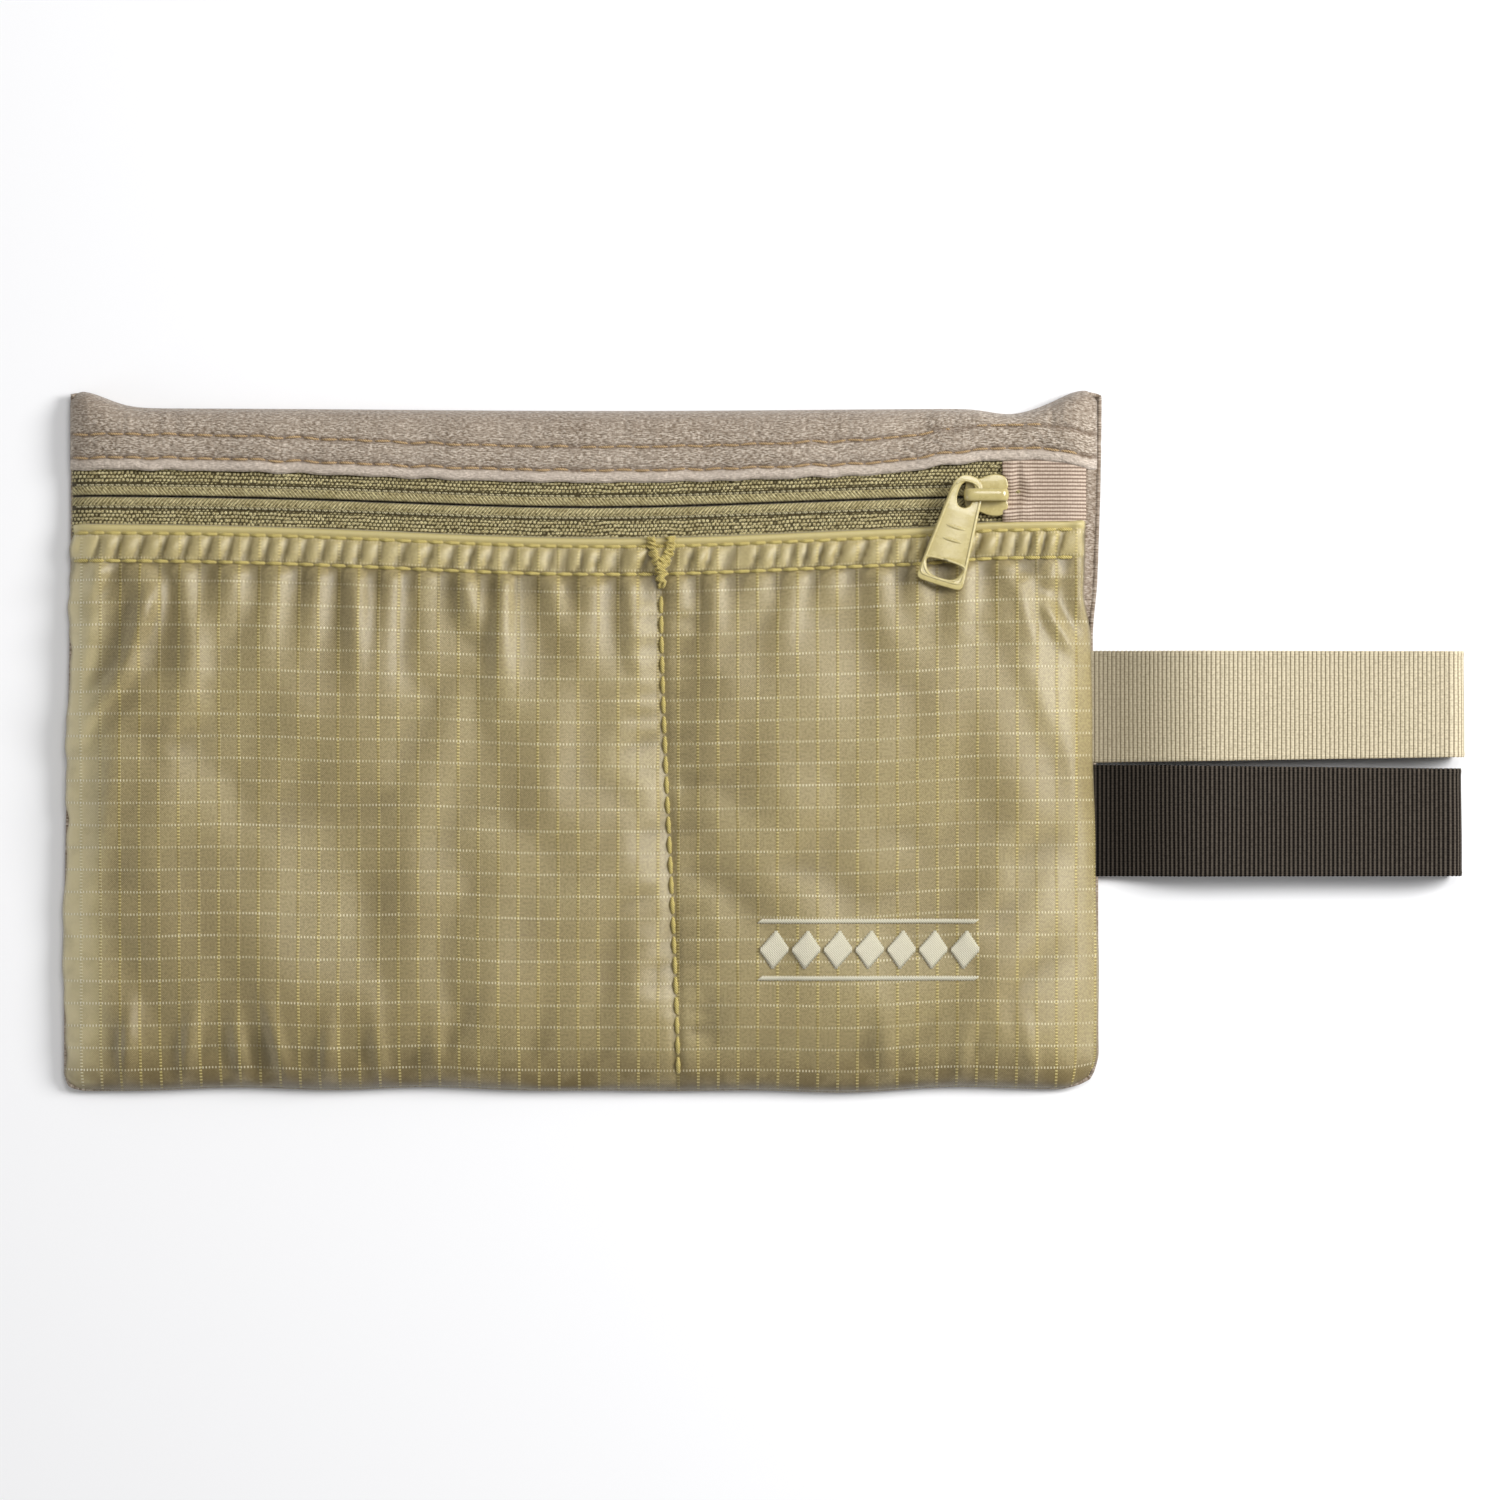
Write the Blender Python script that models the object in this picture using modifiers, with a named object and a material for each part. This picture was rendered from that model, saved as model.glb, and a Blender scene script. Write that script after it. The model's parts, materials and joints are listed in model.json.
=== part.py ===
"""Flat zipped travel-money pouch with two webbing belt loops, lying on its back. Metres, +Z up.

The pouch is a ripstop front panel and a brushed back panel, sewn round three sides. The back cloth's top
band is sewn to an inverted coil zip, and the zip's slider opens the mouth. +X runs from the pouch to its
loops, +Y from the bottom seam to the top fold, and the origin is under the middle of the whole object.
"""

import math

import bmesh
import bpy
from mathutils import Matrix, Vector

# Outline of the pouch and of the whole object
OBJECT_LENGTH = 0.2524
OBJECT_HEIGHT = 0.1264
POUCH_LENGTH = 0.1868
LEFT = -OBJECT_LENGTH / 2
RIGHT = LEFT + POUCH_LENGTH
BOTTOM = -OBJECT_HEIGHT / 2
EAR_RISE = 0.0030
EAR_LENGTH = 0.013
TOP = OBJECT_HEIGHT / 2 - EAR_RISE
TOP_TAPER = 0.0012
LEFT_CORNER = 0.0042
RIGHT_CORNER = 0.0075

# Places up the pouch where its outline and its height change
TAPER_BASE_Y, TAPER_TOP_Y = -0.045, 0.040
WAIST_DEPTH, WAIST_Y, WAIST_SPREAD = 0.0010, 0.016, 0.022
LEAN_TOP_Y, LEAN_BASE_Y = 0.030, -0.070
CROWN_TOP_Y, CROWN_BASE_Y = 0.037, 0.004
SHOULDER_TOP_Y, SHOULDER_BASE_Y = 0.039, 0.012
VALLEY_TOP_Y, VALLEY_BASE_Y = 0.036, 0.014

# Cloth and how far the pouch stands up
CLOTH = 0.0006
GAP = 0.0003
RIM = 2 * CLOTH + GAP
ZIP_FACE = 0.0057
CROWN = 0.0084
BODY_SHOULDER = 0.022
ZIP_SHOULDER = 0.0070

# Divider seam, sewn through the front panel and the back panel
DIVIDER_TOP_X = -0.0183
DIVIDER_LEAN = 0.0032
DIVIDER_DEPTH = 0.85
DIVIDER_WIDTH = 0.013

# Zip
ZIP_Y = 0.0442
SLIT = 0.0013
TAPE = 0.0005
TAPE_WIDTH = 0.0105
TAPE_INSET = 0.0027
TAPE_FACE = ZIP_FACE - CLOTH - GAP
HEM_Y = ZIP_Y - 0.0050
BAND_Y = ZIP_Y + 0.0044
COIL_WIDTH = 0.0017
COIL_HEIGHT = 0.0013
COIL_ROUND = 0.0004
COIL_TOP = TAPE_FACE - TAPE - GAP
COIL_BASE = COIL_TOP - COIL_HEIGHT
COIL_LEFT = LEFT + 0.0088
COIL_RIGHT = RIGHT - 0.0082

# Slider, at the closed end of the zip
SLIDER_LENGTH = 0.0082
SLIDER_REAR = 0.0360
SLIDER_WIDE = 0.0077
SLIDER_NARROW = 0.0064
SLIDER_CLEAR = 0.00075
SLIDER_PLATE = 0.00085
SLIDER_FLOOR = 0.0009
SLIDER_TOP_LOW = TAPE_FACE + SLIDER_CLEAR
SLIDER_TOP_HIGH = SLIDER_TOP_LOW + SLIDER_PLATE
SLIDER_FLOOR_HIGH = COIL_BASE - GAP
SLIDER_FLOOR_LOW = SLIDER_FLOOR_HIGH - SLIDER_FLOOR
NECK_WIDTH = 0.0006
NECK_START, NECK_END = 0.0018, 0.0004
FLANGE_WIDTH = 0.0007
FLANGE_INSET = 0.0006
FLANGE_START, FLANGE_END = 0.0010, 0.0002
SINK = 0.0002
CROWN_WIDTH = 0.0023
CROWN_THICK = 0.0009
CROWN_FOOT = SLIDER_TOP_HIGH + GAP
CROWN_RISE = 0.0022
CROWN_LINE = CROWN_FOOT + CROWN_RISE
CROWN_BEND = 0.0008

# Pull tab, hooked round the crown's rear leg
PULL_THICK = 0.0010
PULL_BACK = 0.0036
PULL_REACH = 0.0172
PULL_HEAD = 0.0060
PULL_FOOT = 0.0094
PULL_TURN = math.radians(17)
PULL_TILT = math.radians(4)
PULL_X = SLIDER_REAR + CROWN_THICK / 2
PULL_LIFT = 0.0010
PULL_Z = SLIDER_TOP_HIGH + PULL_LIFT
PULL_FOOT_TURN = 0.0017
PULL_HEAD_FLAT = 0.0001
EYE_WIDE, EYE_LONG, EYE_TURN = 0.00145, 0.0024, 0.0008
GRIP_WIDE, GRIP_TOP, GRIP_BASE, GRIP_TURN = 0.0032, -0.0126, -0.0156, 0.0011

# Webbing
WEBBING = 0.0008
WEBBING_WIDTH = 0.0200
LOOP_ROOT = RIGHT + GAP
LOOP_GAP = 0.0050
LOOP_HINGE = 2 * WEBBING + GAP
TAN_MIDDLE = 0.0062
BLACK_MIDDLE = -0.0143
BLACK_SHORTER = 0.0005
LOOP_RISE_SHARE = 0.33
END_TAB_LEFT = 0.0446
END_TAB_RIGHT = 0.0577

# Thread
THREAD = 0.00018
TACK = 0.0005
ROW_POINTS = 22
SEAM_INSET = 0.0030
SEAM_CORNER = 0.012
SEAM_TOP = 0.030
ROW_LEFT, ROW_RIGHT = LEFT + 0.0055, RIGHT - 0.0045
BAND_ROWS = (0.0025, 0.0060)
HEM_ROWS = (0.0016, 0.0066)
CHAIN_OFFSET = 0.0011
DIVIDER_THREAD_LOW, DIVIDER_THREAD_HIGH = -0.058, 0.026
DIVIDER_THREAD_LIFT = 0.0004
BAR_TACK_LOW, BAR_TACK_HIGH, BAR_TACK_WIDTH = 0.0272, 0.0342, 0.0018

# Embroidered ornament in the lower part of the narrow compartment
EMBLEM_LEFT, EMBLEM_RIGHT = -0.0008, 0.0391
EMBLEM_LOW, EMBLEM_HIGH = -0.0437, -0.0311
EMBLEM_THICK = 0.0004

# How many columns and rows of faces the cloth has, and how many straight pieces make each bend
WIDE_COLUMNS, NARROW_COLUMNS, PANEL_ROWS = 20, 15, 20
BACK_COLUMNS, BACK_ROWS = 24, 12
ZIP_COLUMNS, TAPE_ROWS = 34, 4
CROWN_BEND_STEPS, TAB_CORNER_STEPS, WINDOW_CORNER_STEPS, LOOP_FOLD_STEPS = 4, 6, 3, 10

COLLECTION = "travel_money_pouch"
AXIS_MARK = 0.01


def clear_scene():
    for old in list(bpy.data.objects):
        bpy.data.objects.remove(old, do_unlink=True)
    parts = bpy.data.collections.new(COLLECTION)
    bpy.context.scene.collection.children.link(parts)
    return parts


def material(name, colour, roughness, metallic=0.0):
    made = bpy.data.materials.new(name)
    made.use_nodes = True
    shader = made.node_tree.nodes["Principled BSDF"]
    shader.inputs["Base Color"].default_value = (*colour, 1.0)
    shader.inputs["Roughness"].default_value = roughness
    shader.inputs["Metallic"].default_value = metallic
    return made


def smooth(value, low, high):
    """0 at low, 1 at high, and an even S-curve between them."""
    share = min(max((value - low) / (high - low), 0.0), 1.0)
    return share * share * (3 - 2 * share)


def shoulder(distance, width):
    """A quarter ellipse: 0 at the seam and 1 once distance reaches width."""
    share = min(max(distance / width, 0.0), 1.0)
    return math.sqrt(1 - (1 - share) ** 2)


def spread(count, both=True):
    """Shares from 0 to 1, closer together near 0, and near 1 too if both ends are seams."""
    crowding, turns = (0.65, 2) if both else (0.6, 1)
    wave = turns * math.pi
    shares = [i / count for i in range(count + 1)]
    return [share - crowding * math.sin(wave * share) / wave for share in shares]


def left_edge(y):
    return LEFT + TOP_TAPER * smooth(y, TAPER_BASE_Y, TAPER_TOP_Y)


def right_edge(y):
    return RIGHT - WAIST_DEPTH * math.exp(-(((y - WAIST_Y) / WAIST_SPREAD) ** 2))


def divider_x(y):
    return DIVIDER_TOP_X + DIVIDER_LEAN * smooth(-y, -LEAN_TOP_Y, -LEAN_BASE_Y)


def ear(x):
    """How far the turned corners stand above the middle of the top fold."""
    inward = min(x - LEFT, RIGHT - x)
    return EAR_RISE * (1 - smooth(inward, TOP_TAPER, EAR_LENGTH))


def round_corner(x, y, corner_x, corner_y, radius):
    """Moves a point of a corner's square onto a quarter disc of the same radius."""
    centre_x = corner_x + math.copysign(radius, -corner_x)
    centre_y = corner_y + math.copysign(radius, -corner_y)
    across = (x - centre_x) / (corner_x - centre_x)
    up = (y - centre_y) / (corner_y - centre_y)
    if across <= 0 or up <= 0:
        return x, y
    rounded_x = centre_x + (corner_x - centre_x) * across * math.sqrt(1 - up * up / 2)
    rounded_y = centre_y + (corner_y - centre_y) * up * math.sqrt(1 - across * across / 2)
    return rounded_x, rounded_y


def rounded(x, y):
    x, y = round_corner(x, y, LEFT, BOTTOM, LEFT_CORNER)
    return round_corner(x, y, RIGHT, BOTTOM, RIGHT_CORNER)


def face_height(x, y):
    """Height of the pouch's outer front face."""
    crown = ZIP_FACE + (CROWN - ZIP_FACE) * smooth(-y, -CROWN_TOP_Y, -CROWN_BASE_Y)
    rounding = smooth(-y, -SHOULDER_TOP_Y, -SHOULDER_BASE_Y)
    width = ZIP_SHOULDER + (BODY_SHOULDER - ZIP_SHOULDER) * rounding
    sides = shoulder(x - left_edge(y), width) * shoulder(right_edge(y) - x, width)
    base = shoulder(y - BOTTOM, BODY_SHOULDER)
    sewn = DIVIDER_DEPTH * smooth(-y, -VALLEY_TOP_Y, -VALLEY_BASE_Y)
    valley = 1 - sewn * (1 - smooth(abs(x - divider_x(y)), 0.0, DIVIDER_WIDTH))
    return RIM + (crown - RIM) * sides * base * valley


def tape_height(x, y):
    """Height of the zip tapes' upper face, just under the cloth that covers their edges."""
    return face_height(x, y) - CLOTH - GAP


def add(parts, name, data, finish):
    made = bpy.data.objects.new(name, data)
    parts.objects.link(made)
    data.materials.append(finish)
    return made


def sheet(parts, name, columns, rows, place, thickness, finish, offset=-1.0):
    """A grid of columns by rows, placed point by point by place(i, j) and given a thickness."""
    mesh = bpy.data.meshes.new(name)
    grid = bmesh.new()
    bmesh.ops.create_grid(grid, x_segments=columns, y_segments=rows, size=0.5)
    for vertex in grid.verts:
        i = round((vertex.co.x + 0.5) * columns)
        j = round((vertex.co.y + 0.5) * rows)
        vertex.co = place(i, j)
    grid.to_mesh(mesh)
    grid.free()
    mesh.shade_smooth()
    made = add(parts, name, mesh, finish)
    solid = made.modifiers.new("thickness", "SOLIDIFY")
    solid.thickness = thickness
    solid.offset = offset
    return made


def thread(parts, name, points, finish, radius=THREAD):
    """A line of sewing thread along points, as a thin tube."""
    curve = bpy.data.curves.new(name, "CURVE")
    curve.dimensions = "3D"
    curve.bevel_depth = radius
    curve.bevel_resolution = 1
    curve.use_fill_caps = True
    line = curve.splines.new("POLY")
    line.points.add(len(points) - 1)
    for point, target in zip(line.points, points):
        point.co = (*target, 1.0)
    return add(parts, name, curve, finish)


def panel_columns():
    """Where the front panel's columns stand: (share across its compartment, is it the right one)."""
    left = [(share, False) for share in spread(WIDE_COLUMNS)]
    right = [(share, True) for share in spread(NARROW_COLUMNS)]
    return left + right[1:]


def front_panel(parts, finish):
    columns = panel_columns()
    rows = spread(PANEL_ROWS, both=False)

    def place(i, j):
        share, is_right = columns[i]
        y = BOTTOM + (HEM_Y - BOTTOM) * rows[j]
        middle = divider_x(y)
        start, end = (middle, right_edge(y)) if is_right else (left_edge(y), middle)
        x = start + (end - start) * share
        height = face_height(x, y)
        return Vector((*rounded(x, y), height))

    sheet(parts, "front_panel", len(columns) - 1, len(rows) - 1, place, CLOTH, finish)


def back_panel(parts, finish):
    columns, rows = spread(BACK_COLUMNS), spread(BACK_ROWS)
    turned_from = 0.9

    def place(i, j):
        y = BOTTOM + (TOP - BOTTOM) * rows[j]
        x = left_edge(y) + (right_edge(y) - left_edge(y)) * columns[i]
        y += (ear(x) - GAP) * smooth(rows[j], turned_from, 1.0)
        return Vector((*rounded(x, y), CLOTH))

    sheet(parts, "back_panel", len(columns) - 1, len(rows) - 1, place, CLOTH, finish)


def top_band(parts, finish):
    """The band runs up from the zip and turns over the top fold down to the back panel."""
    columns = spread(ZIP_COLUMNS)
    flat_rows, turned_rows = 3, 6
    turn = ZIP_FACE - RIM
    start, end = left_edge(BAND_Y), right_edge(BAND_Y)

    def place(i, j):
        if j <= flat_rows:
            share, angle = j / flat_rows, 0.0
        else:
            share, angle = 1.0, (j - flat_rows) / turned_rows * math.pi / 2
        x = start + (end - start) * columns[i]
        flat_top = TOP + ear(x) - turn
        y = BAND_Y + (flat_top - BAND_Y) * share + turn * math.sin(angle)
        side = shoulder(x - start, ZIP_SHOULDER) * shoulder(end - x, ZIP_SHOULDER)
        return Vector((x, y, RIM + turn * side * math.cos(angle)))

    count = flat_rows + turned_rows
    return sheet(parts, "top_band", len(columns) - 1, count, place, CLOTH, finish)


def zip_tape(parts, name, low, finish):
    """One woven tape, TAPE_WIDTH wide from low upwards, under the cloth along one edge."""
    columns = spread(ZIP_COLUMNS)

    def place(i, j):
        y = low + TAPE_WIDTH * j / TAPE_ROWS
        start = left_edge(y) + TAPE_INSET
        end = right_edge(y) - TAPE_INSET
        x = start + (end - start) * columns[i]
        return Vector((x, y, tape_height(x, min(y, BAND_Y))))

    return sheet(parts, name, len(columns) - 1, TAPE_ROWS, place, TAPE, finish)


def zip_coil(parts, name, middle, finish):
    """A row of coil elements, as the bar that encloses it, under its tape."""
    coil = block(parts, name, (COIL_LEFT, COIL_RIGHT), COIL_WIDTH, (COIL_BASE, COIL_TOP), finish)
    coil.data.transform(Matrix.Translation((0, middle, 0)))
    edge = coil.modifiers.new("round", "BEVEL")
    edge.width = COIL_ROUND
    edge.segments = 2
    return coil


def block(parts, name, across, width, heights, finish, narrow=None):
    """A block centred on y = 0, whose low-x end may be narrower than its high-x end."""
    shape = bmesh.new()
    bmesh.ops.create_cube(shape, size=1.0)
    for vertex in shape.verts:
        at_rear = vertex.co.x < 0
        span = narrow if at_rear and narrow else width
        vertex.co.x = across[0] if at_rear else across[1]
        vertex.co.y *= span
        vertex.co.z = heights[0] if vertex.co.z < 0 else heights[1]
    mesh = bpy.data.meshes.new(name)
    shape.to_mesh(mesh)
    shape.free()
    return add(parts, name, mesh, finish)


def slider_body(parts, cutters, finish):
    """Top and bottom plates joined by the neck that parts the coils, with flanges beside the coils."""
    front = SLIDER_REAR + SLIDER_LENGTH
    span = (SLIDER_REAR, front)
    body = block(
        parts, "slider_body", span, SLIDER_WIDE, (SLIDER_TOP_LOW, SLIDER_TOP_HIGH), finish,
        narrow=SLIDER_NARROW,
    )
    floor_heights = (SLIDER_FLOOR_LOW, SLIDER_FLOOR_HIGH)
    joined = [
        block(cutters, "slider_floor", span, SLIDER_WIDE, floor_heights, finish, SLIDER_NARROW),
        block(cutters, "slider_neck", (front - NECK_START, front - NECK_END), NECK_WIDTH,
              (SLIDER_FLOOR_LOW + SINK, SLIDER_TOP_HIGH - SINK), finish),
    ]
    flange = SLIDER_WIDE / 2 - FLANGE_INSET
    flange_span = (SLIDER_REAR + FLANGE_START, front - FLANGE_END)
    for side in (-1, 1):
        wall = block(cutters, "slider_flange", flange_span, FLANGE_WIDTH,
                     (SLIDER_FLOOR_LOW + SINK / 2, COIL_TOP), finish)
        wall.data.transform(Matrix.Translation((0, side * flange, 0)))
        joined.append(wall)
    for piece in joined:
        piece.hide_render = True
        piece.display_type = "WIRE"
        union = body.modifiers.new("join", "BOOLEAN")
        union.operation = "UNION"
        union.solver = "EXACT"
        union.object = piece
    for piece in [body, *joined]:
        piece.data.transform(Matrix.Translation((0, ZIP_Y, 0)))
    return body


def arch_line(length, height, bend, steps):
    """Points of a flat-topped arch, from one foot up, along and down to the other foot."""
    points = [(0.0, 0.0)]
    for step in range(steps + 1):
        angle = step / steps * math.pi / 2
        points.append((bend - bend * math.cos(angle), height - bend + bend * math.sin(angle)))
    points.append((length / 2, height))
    mirrored = [(length - x, z) for x, z in reversed(points[:-1])]
    return points + mirrored


def slider_crown(parts, finish):
    """The bridge over the slider's top plate, which holds the pull tab."""
    half = CROWN_THICK / 2
    line = arch_line(SLIDER_LENGTH - CROWN_THICK, CROWN_LINE - CROWN_FOOT, CROWN_BEND, CROWN_BEND_STEPS)

    def place(i, j):
        x, z = line[i]
        y = ZIP_Y + CROWN_WIDTH * (j / 2 - 0.5)
        return Vector((SLIDER_REAR + half + x, y, CROWN_FOOT + z))

    crown = sheet(parts, "slider_crown", len(line) - 1, 2, place, CROWN_THICK, finish, 0.0)
    crown.data.shade_flat()
    return crown


def carry(name, position, pieces, parent=None):
    """Hangs pieces on an empty that stands on their joint's axis."""
    axis = bpy.data.objects.new(name, None)
    axis.location = position
    axis.empty_display_size = AXIS_MARK
    bpy.context.scene.collection.objects.link(axis)
    bpy.context.view_layer.update()
    for piece in pieces:
        place = piece.matrix_world.copy()
        piece.parent = axis
        piece.matrix_parent_inverse = axis.matrix_world.inverted()
        piece.matrix_world = place
    if parent:
        axis.parent = parent
        axis.matrix_parent_inverse = parent.matrix_world.inverted()
    return axis


def outline(curve, points):
    loop = curve.splines.new("POLY")
    loop.points.add(len(points) - 1)
    for point, target in zip(loop.points, points):
        point.co = (*target, 0.0, 1.0)
    loop.use_cyclic_u = True


def rounded_outline(corners, steps):
    """A closed outline of quarter circles, each given as its centre, radius and starting angle."""
    points = []
    for x, y, radius, start in corners:
        for step in range(steps + 1):
            angle = start + math.pi / 2 * step / steps
            points.append((x + radius * math.cos(angle), y + radius * math.sin(angle)))
    return points


def rounded_box(wide, low, high, radius):
    """The outline of a window wide to each side of the middle, with quarter-circle corners."""
    quarter = math.pi / 2
    return rounded_outline([
        (wide - radius, high - radius, radius, 0.0),
        (radius - wide, high - radius, radius, quarter),
        (radius - wide, low + radius, radius, 2 * quarter),
        (wide - radius, low + radius, radius, 3 * quarter),
    ], WINDOW_CORNER_STEPS)


def pull_tab(parts, finish):
    """A flat tab with an eye for the crown's leg and a grip window; its length runs along -Y at first."""
    curve = bpy.data.curves.new("pull_tab", "CURVE")
    curve.dimensions = "2D"
    curve.fill_mode = "BOTH"
    curve.extrude = PULL_THICK / 2
    head, foot = PULL_HEAD / 2, PULL_FOOT / 2
    quarter = math.pi / 2
    turn = head - PULL_HEAD_FLAT
    outline(curve, rounded_outline([
        (head - turn, PULL_BACK - turn, turn, 0.0),
        (turn - head, PULL_BACK - turn, turn, quarter),
        (PULL_FOOT_TURN - foot, PULL_FOOT_TURN - PULL_REACH, PULL_FOOT_TURN, 2 * quarter),
        (foot - PULL_FOOT_TURN, PULL_FOOT_TURN - PULL_REACH, PULL_FOOT_TURN, 3 * quarter),
    ], TAB_CORNER_STEPS))
    outline(curve, rounded_box(EYE_WIDE, -EYE_LONG, EYE_LONG, EYE_TURN))
    outline(curve, rounded_box(GRIP_WIDE, GRIP_BASE, GRIP_TOP, GRIP_TURN))
    tab = add(parts, "pull_tab", curve, finish)
    tab.location = (PULL_X, ZIP_Y, PULL_Z)
    turn = Matrix.Rotation(-PULL_TURN, 4, "Z") @ Matrix.Rotation(-PULL_TILT, 4, "X")
    tab.rotation_euler = turn.to_euler()
    return tab


def loop_line(length, steps):
    """Centre line of a belt loop: out along the ground, round the far fold and back to the seam."""
    low = WEBBING / 2
    rise = (LOOP_GAP + WEBBING) / 2
    far = length - rise - WEBBING / 2
    ground_steps, top_steps = 8, 16
    points = [(far * step / ground_steps, low) for step in range(ground_steps)]
    for step in range(steps + 1):
        angle = -math.pi / 2 + math.pi * step / steps
        points.append((far + rise * math.cos(angle), low + rise + rise * math.sin(angle)))
    root = low + WEBBING + GAP
    top = low + 2 * rise
    for step in range(1, top_steps + 1):
        share = 1 - step / top_steps
        points.append((far * share, root + (top - root) * smooth(share, 0.0, LOOP_RISE_SHARE)))
    return points


def belt_loop(parts, name, middle, length, finish):
    line = loop_line(length, LOOP_FOLD_STEPS)

    def place(i, j):
        x, z = line[i]
        return Vector((LOOP_ROOT + x, middle + WEBBING_WIDTH * (j / 2 - 0.5), z))

    return sheet(parts, name, len(line) - 1, 2, place, WEBBING, finish, 0.0)


def end_tab(parts, finish):
    """The folded webbing over the closed end of the zip."""
    low, high = HEM_Y + GAP, BAND_Y - GAP
    columns, rows = 8, 4

    def place(i, j):
        x = END_TAB_LEFT + (END_TAB_RIGHT - END_TAB_LEFT) * i / columns
        y = low + (high - low) * j / rows
        return Vector((x, y, face_height(x, y)))

    sheet(parts, "zip_end_tab", columns, rows, place, CLOTH, finish)


def emblem(parts, finish):
    """The embroidered ornament, as the thin patch of thread that it fills."""
    columns, rows = 12, 6

    def place(i, j):
        x = EMBLEM_LEFT + (EMBLEM_RIGHT - EMBLEM_LEFT) * i / columns
        y = EMBLEM_LOW + (EMBLEM_HIGH - EMBLEM_LOW) * j / rows
        return Vector((x, y, face_height(x, y) + GAP + EMBLEM_THICK))

    sheet(parts, "embroidered_ornament", columns, rows, place, EMBLEM_THICK, finish)


def stitch_row(parts, name, y, base, finish, start=ROW_LEFT, end=ROW_RIGHT):
    """A straight row of stitches along the pouch, lying on the cloth."""
    points = []
    for step in range(ROW_POINTS + 1):
        x = start + (end - start) * step / ROW_POINTS
        points.append((x, y, base(x, y) + GAP + THREAD))
    return thread(parts, name, points, finish)


def divider_thread(parts, finish):
    points = []
    for step in range(ROW_POINTS + 1):
        y = DIVIDER_THREAD_LOW + (DIVIDER_THREAD_HIGH - DIVIDER_THREAD_LOW) * step / ROW_POINTS
        x = divider_x(y)
        points.append((x, y, face_height(x, y) + DIVIDER_THREAD_LIFT + THREAD))
    thread(parts, "divider_stitching", points, finish)


def bar_tack(parts, finish):
    """The dense tack that ends the divider seam at the hem."""
    columns, rows = 2, 6

    def place(i, j):
        y = BAR_TACK_LOW + (BAR_TACK_HIGH - BAR_TACK_LOW) * j / rows
        x = divider_x(y) + BAR_TACK_WIDTH * (i / columns - 0.5)
        return Vector((x, y, face_height(x, y) + 2 * (GAP + THREAD) + TACK))

    sheet(parts, "divider_bar_tack", columns, rows, place, TACK, finish)


def edge_seam(parts, finish):
    """The hidden seam that joins front and back round three sides, inside the turned edge."""
    height = CLOTH + GAP + THREAD
    low = BOTTOM + SEAM_CORNER
    steps = 4
    rows = [low + (SEAM_TOP - low) * step / steps for step in range(steps + 1)]
    start, end = LEFT + SEAM_CORNER, RIGHT - SEAM_CORNER
    left = [(left_edge(y) + SEAM_INSET, y) for y in reversed(rows)]
    base = [(start + (end - start) * step / steps, BOTTOM + SEAM_INSET) for step in range(steps + 1)]
    right = [(right_edge(y) - SEAM_INSET, y) for y in rows]
    thread(parts, "edge_seam_thread", [(x, y, height) for x, y in left + base + right], finish)


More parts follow.
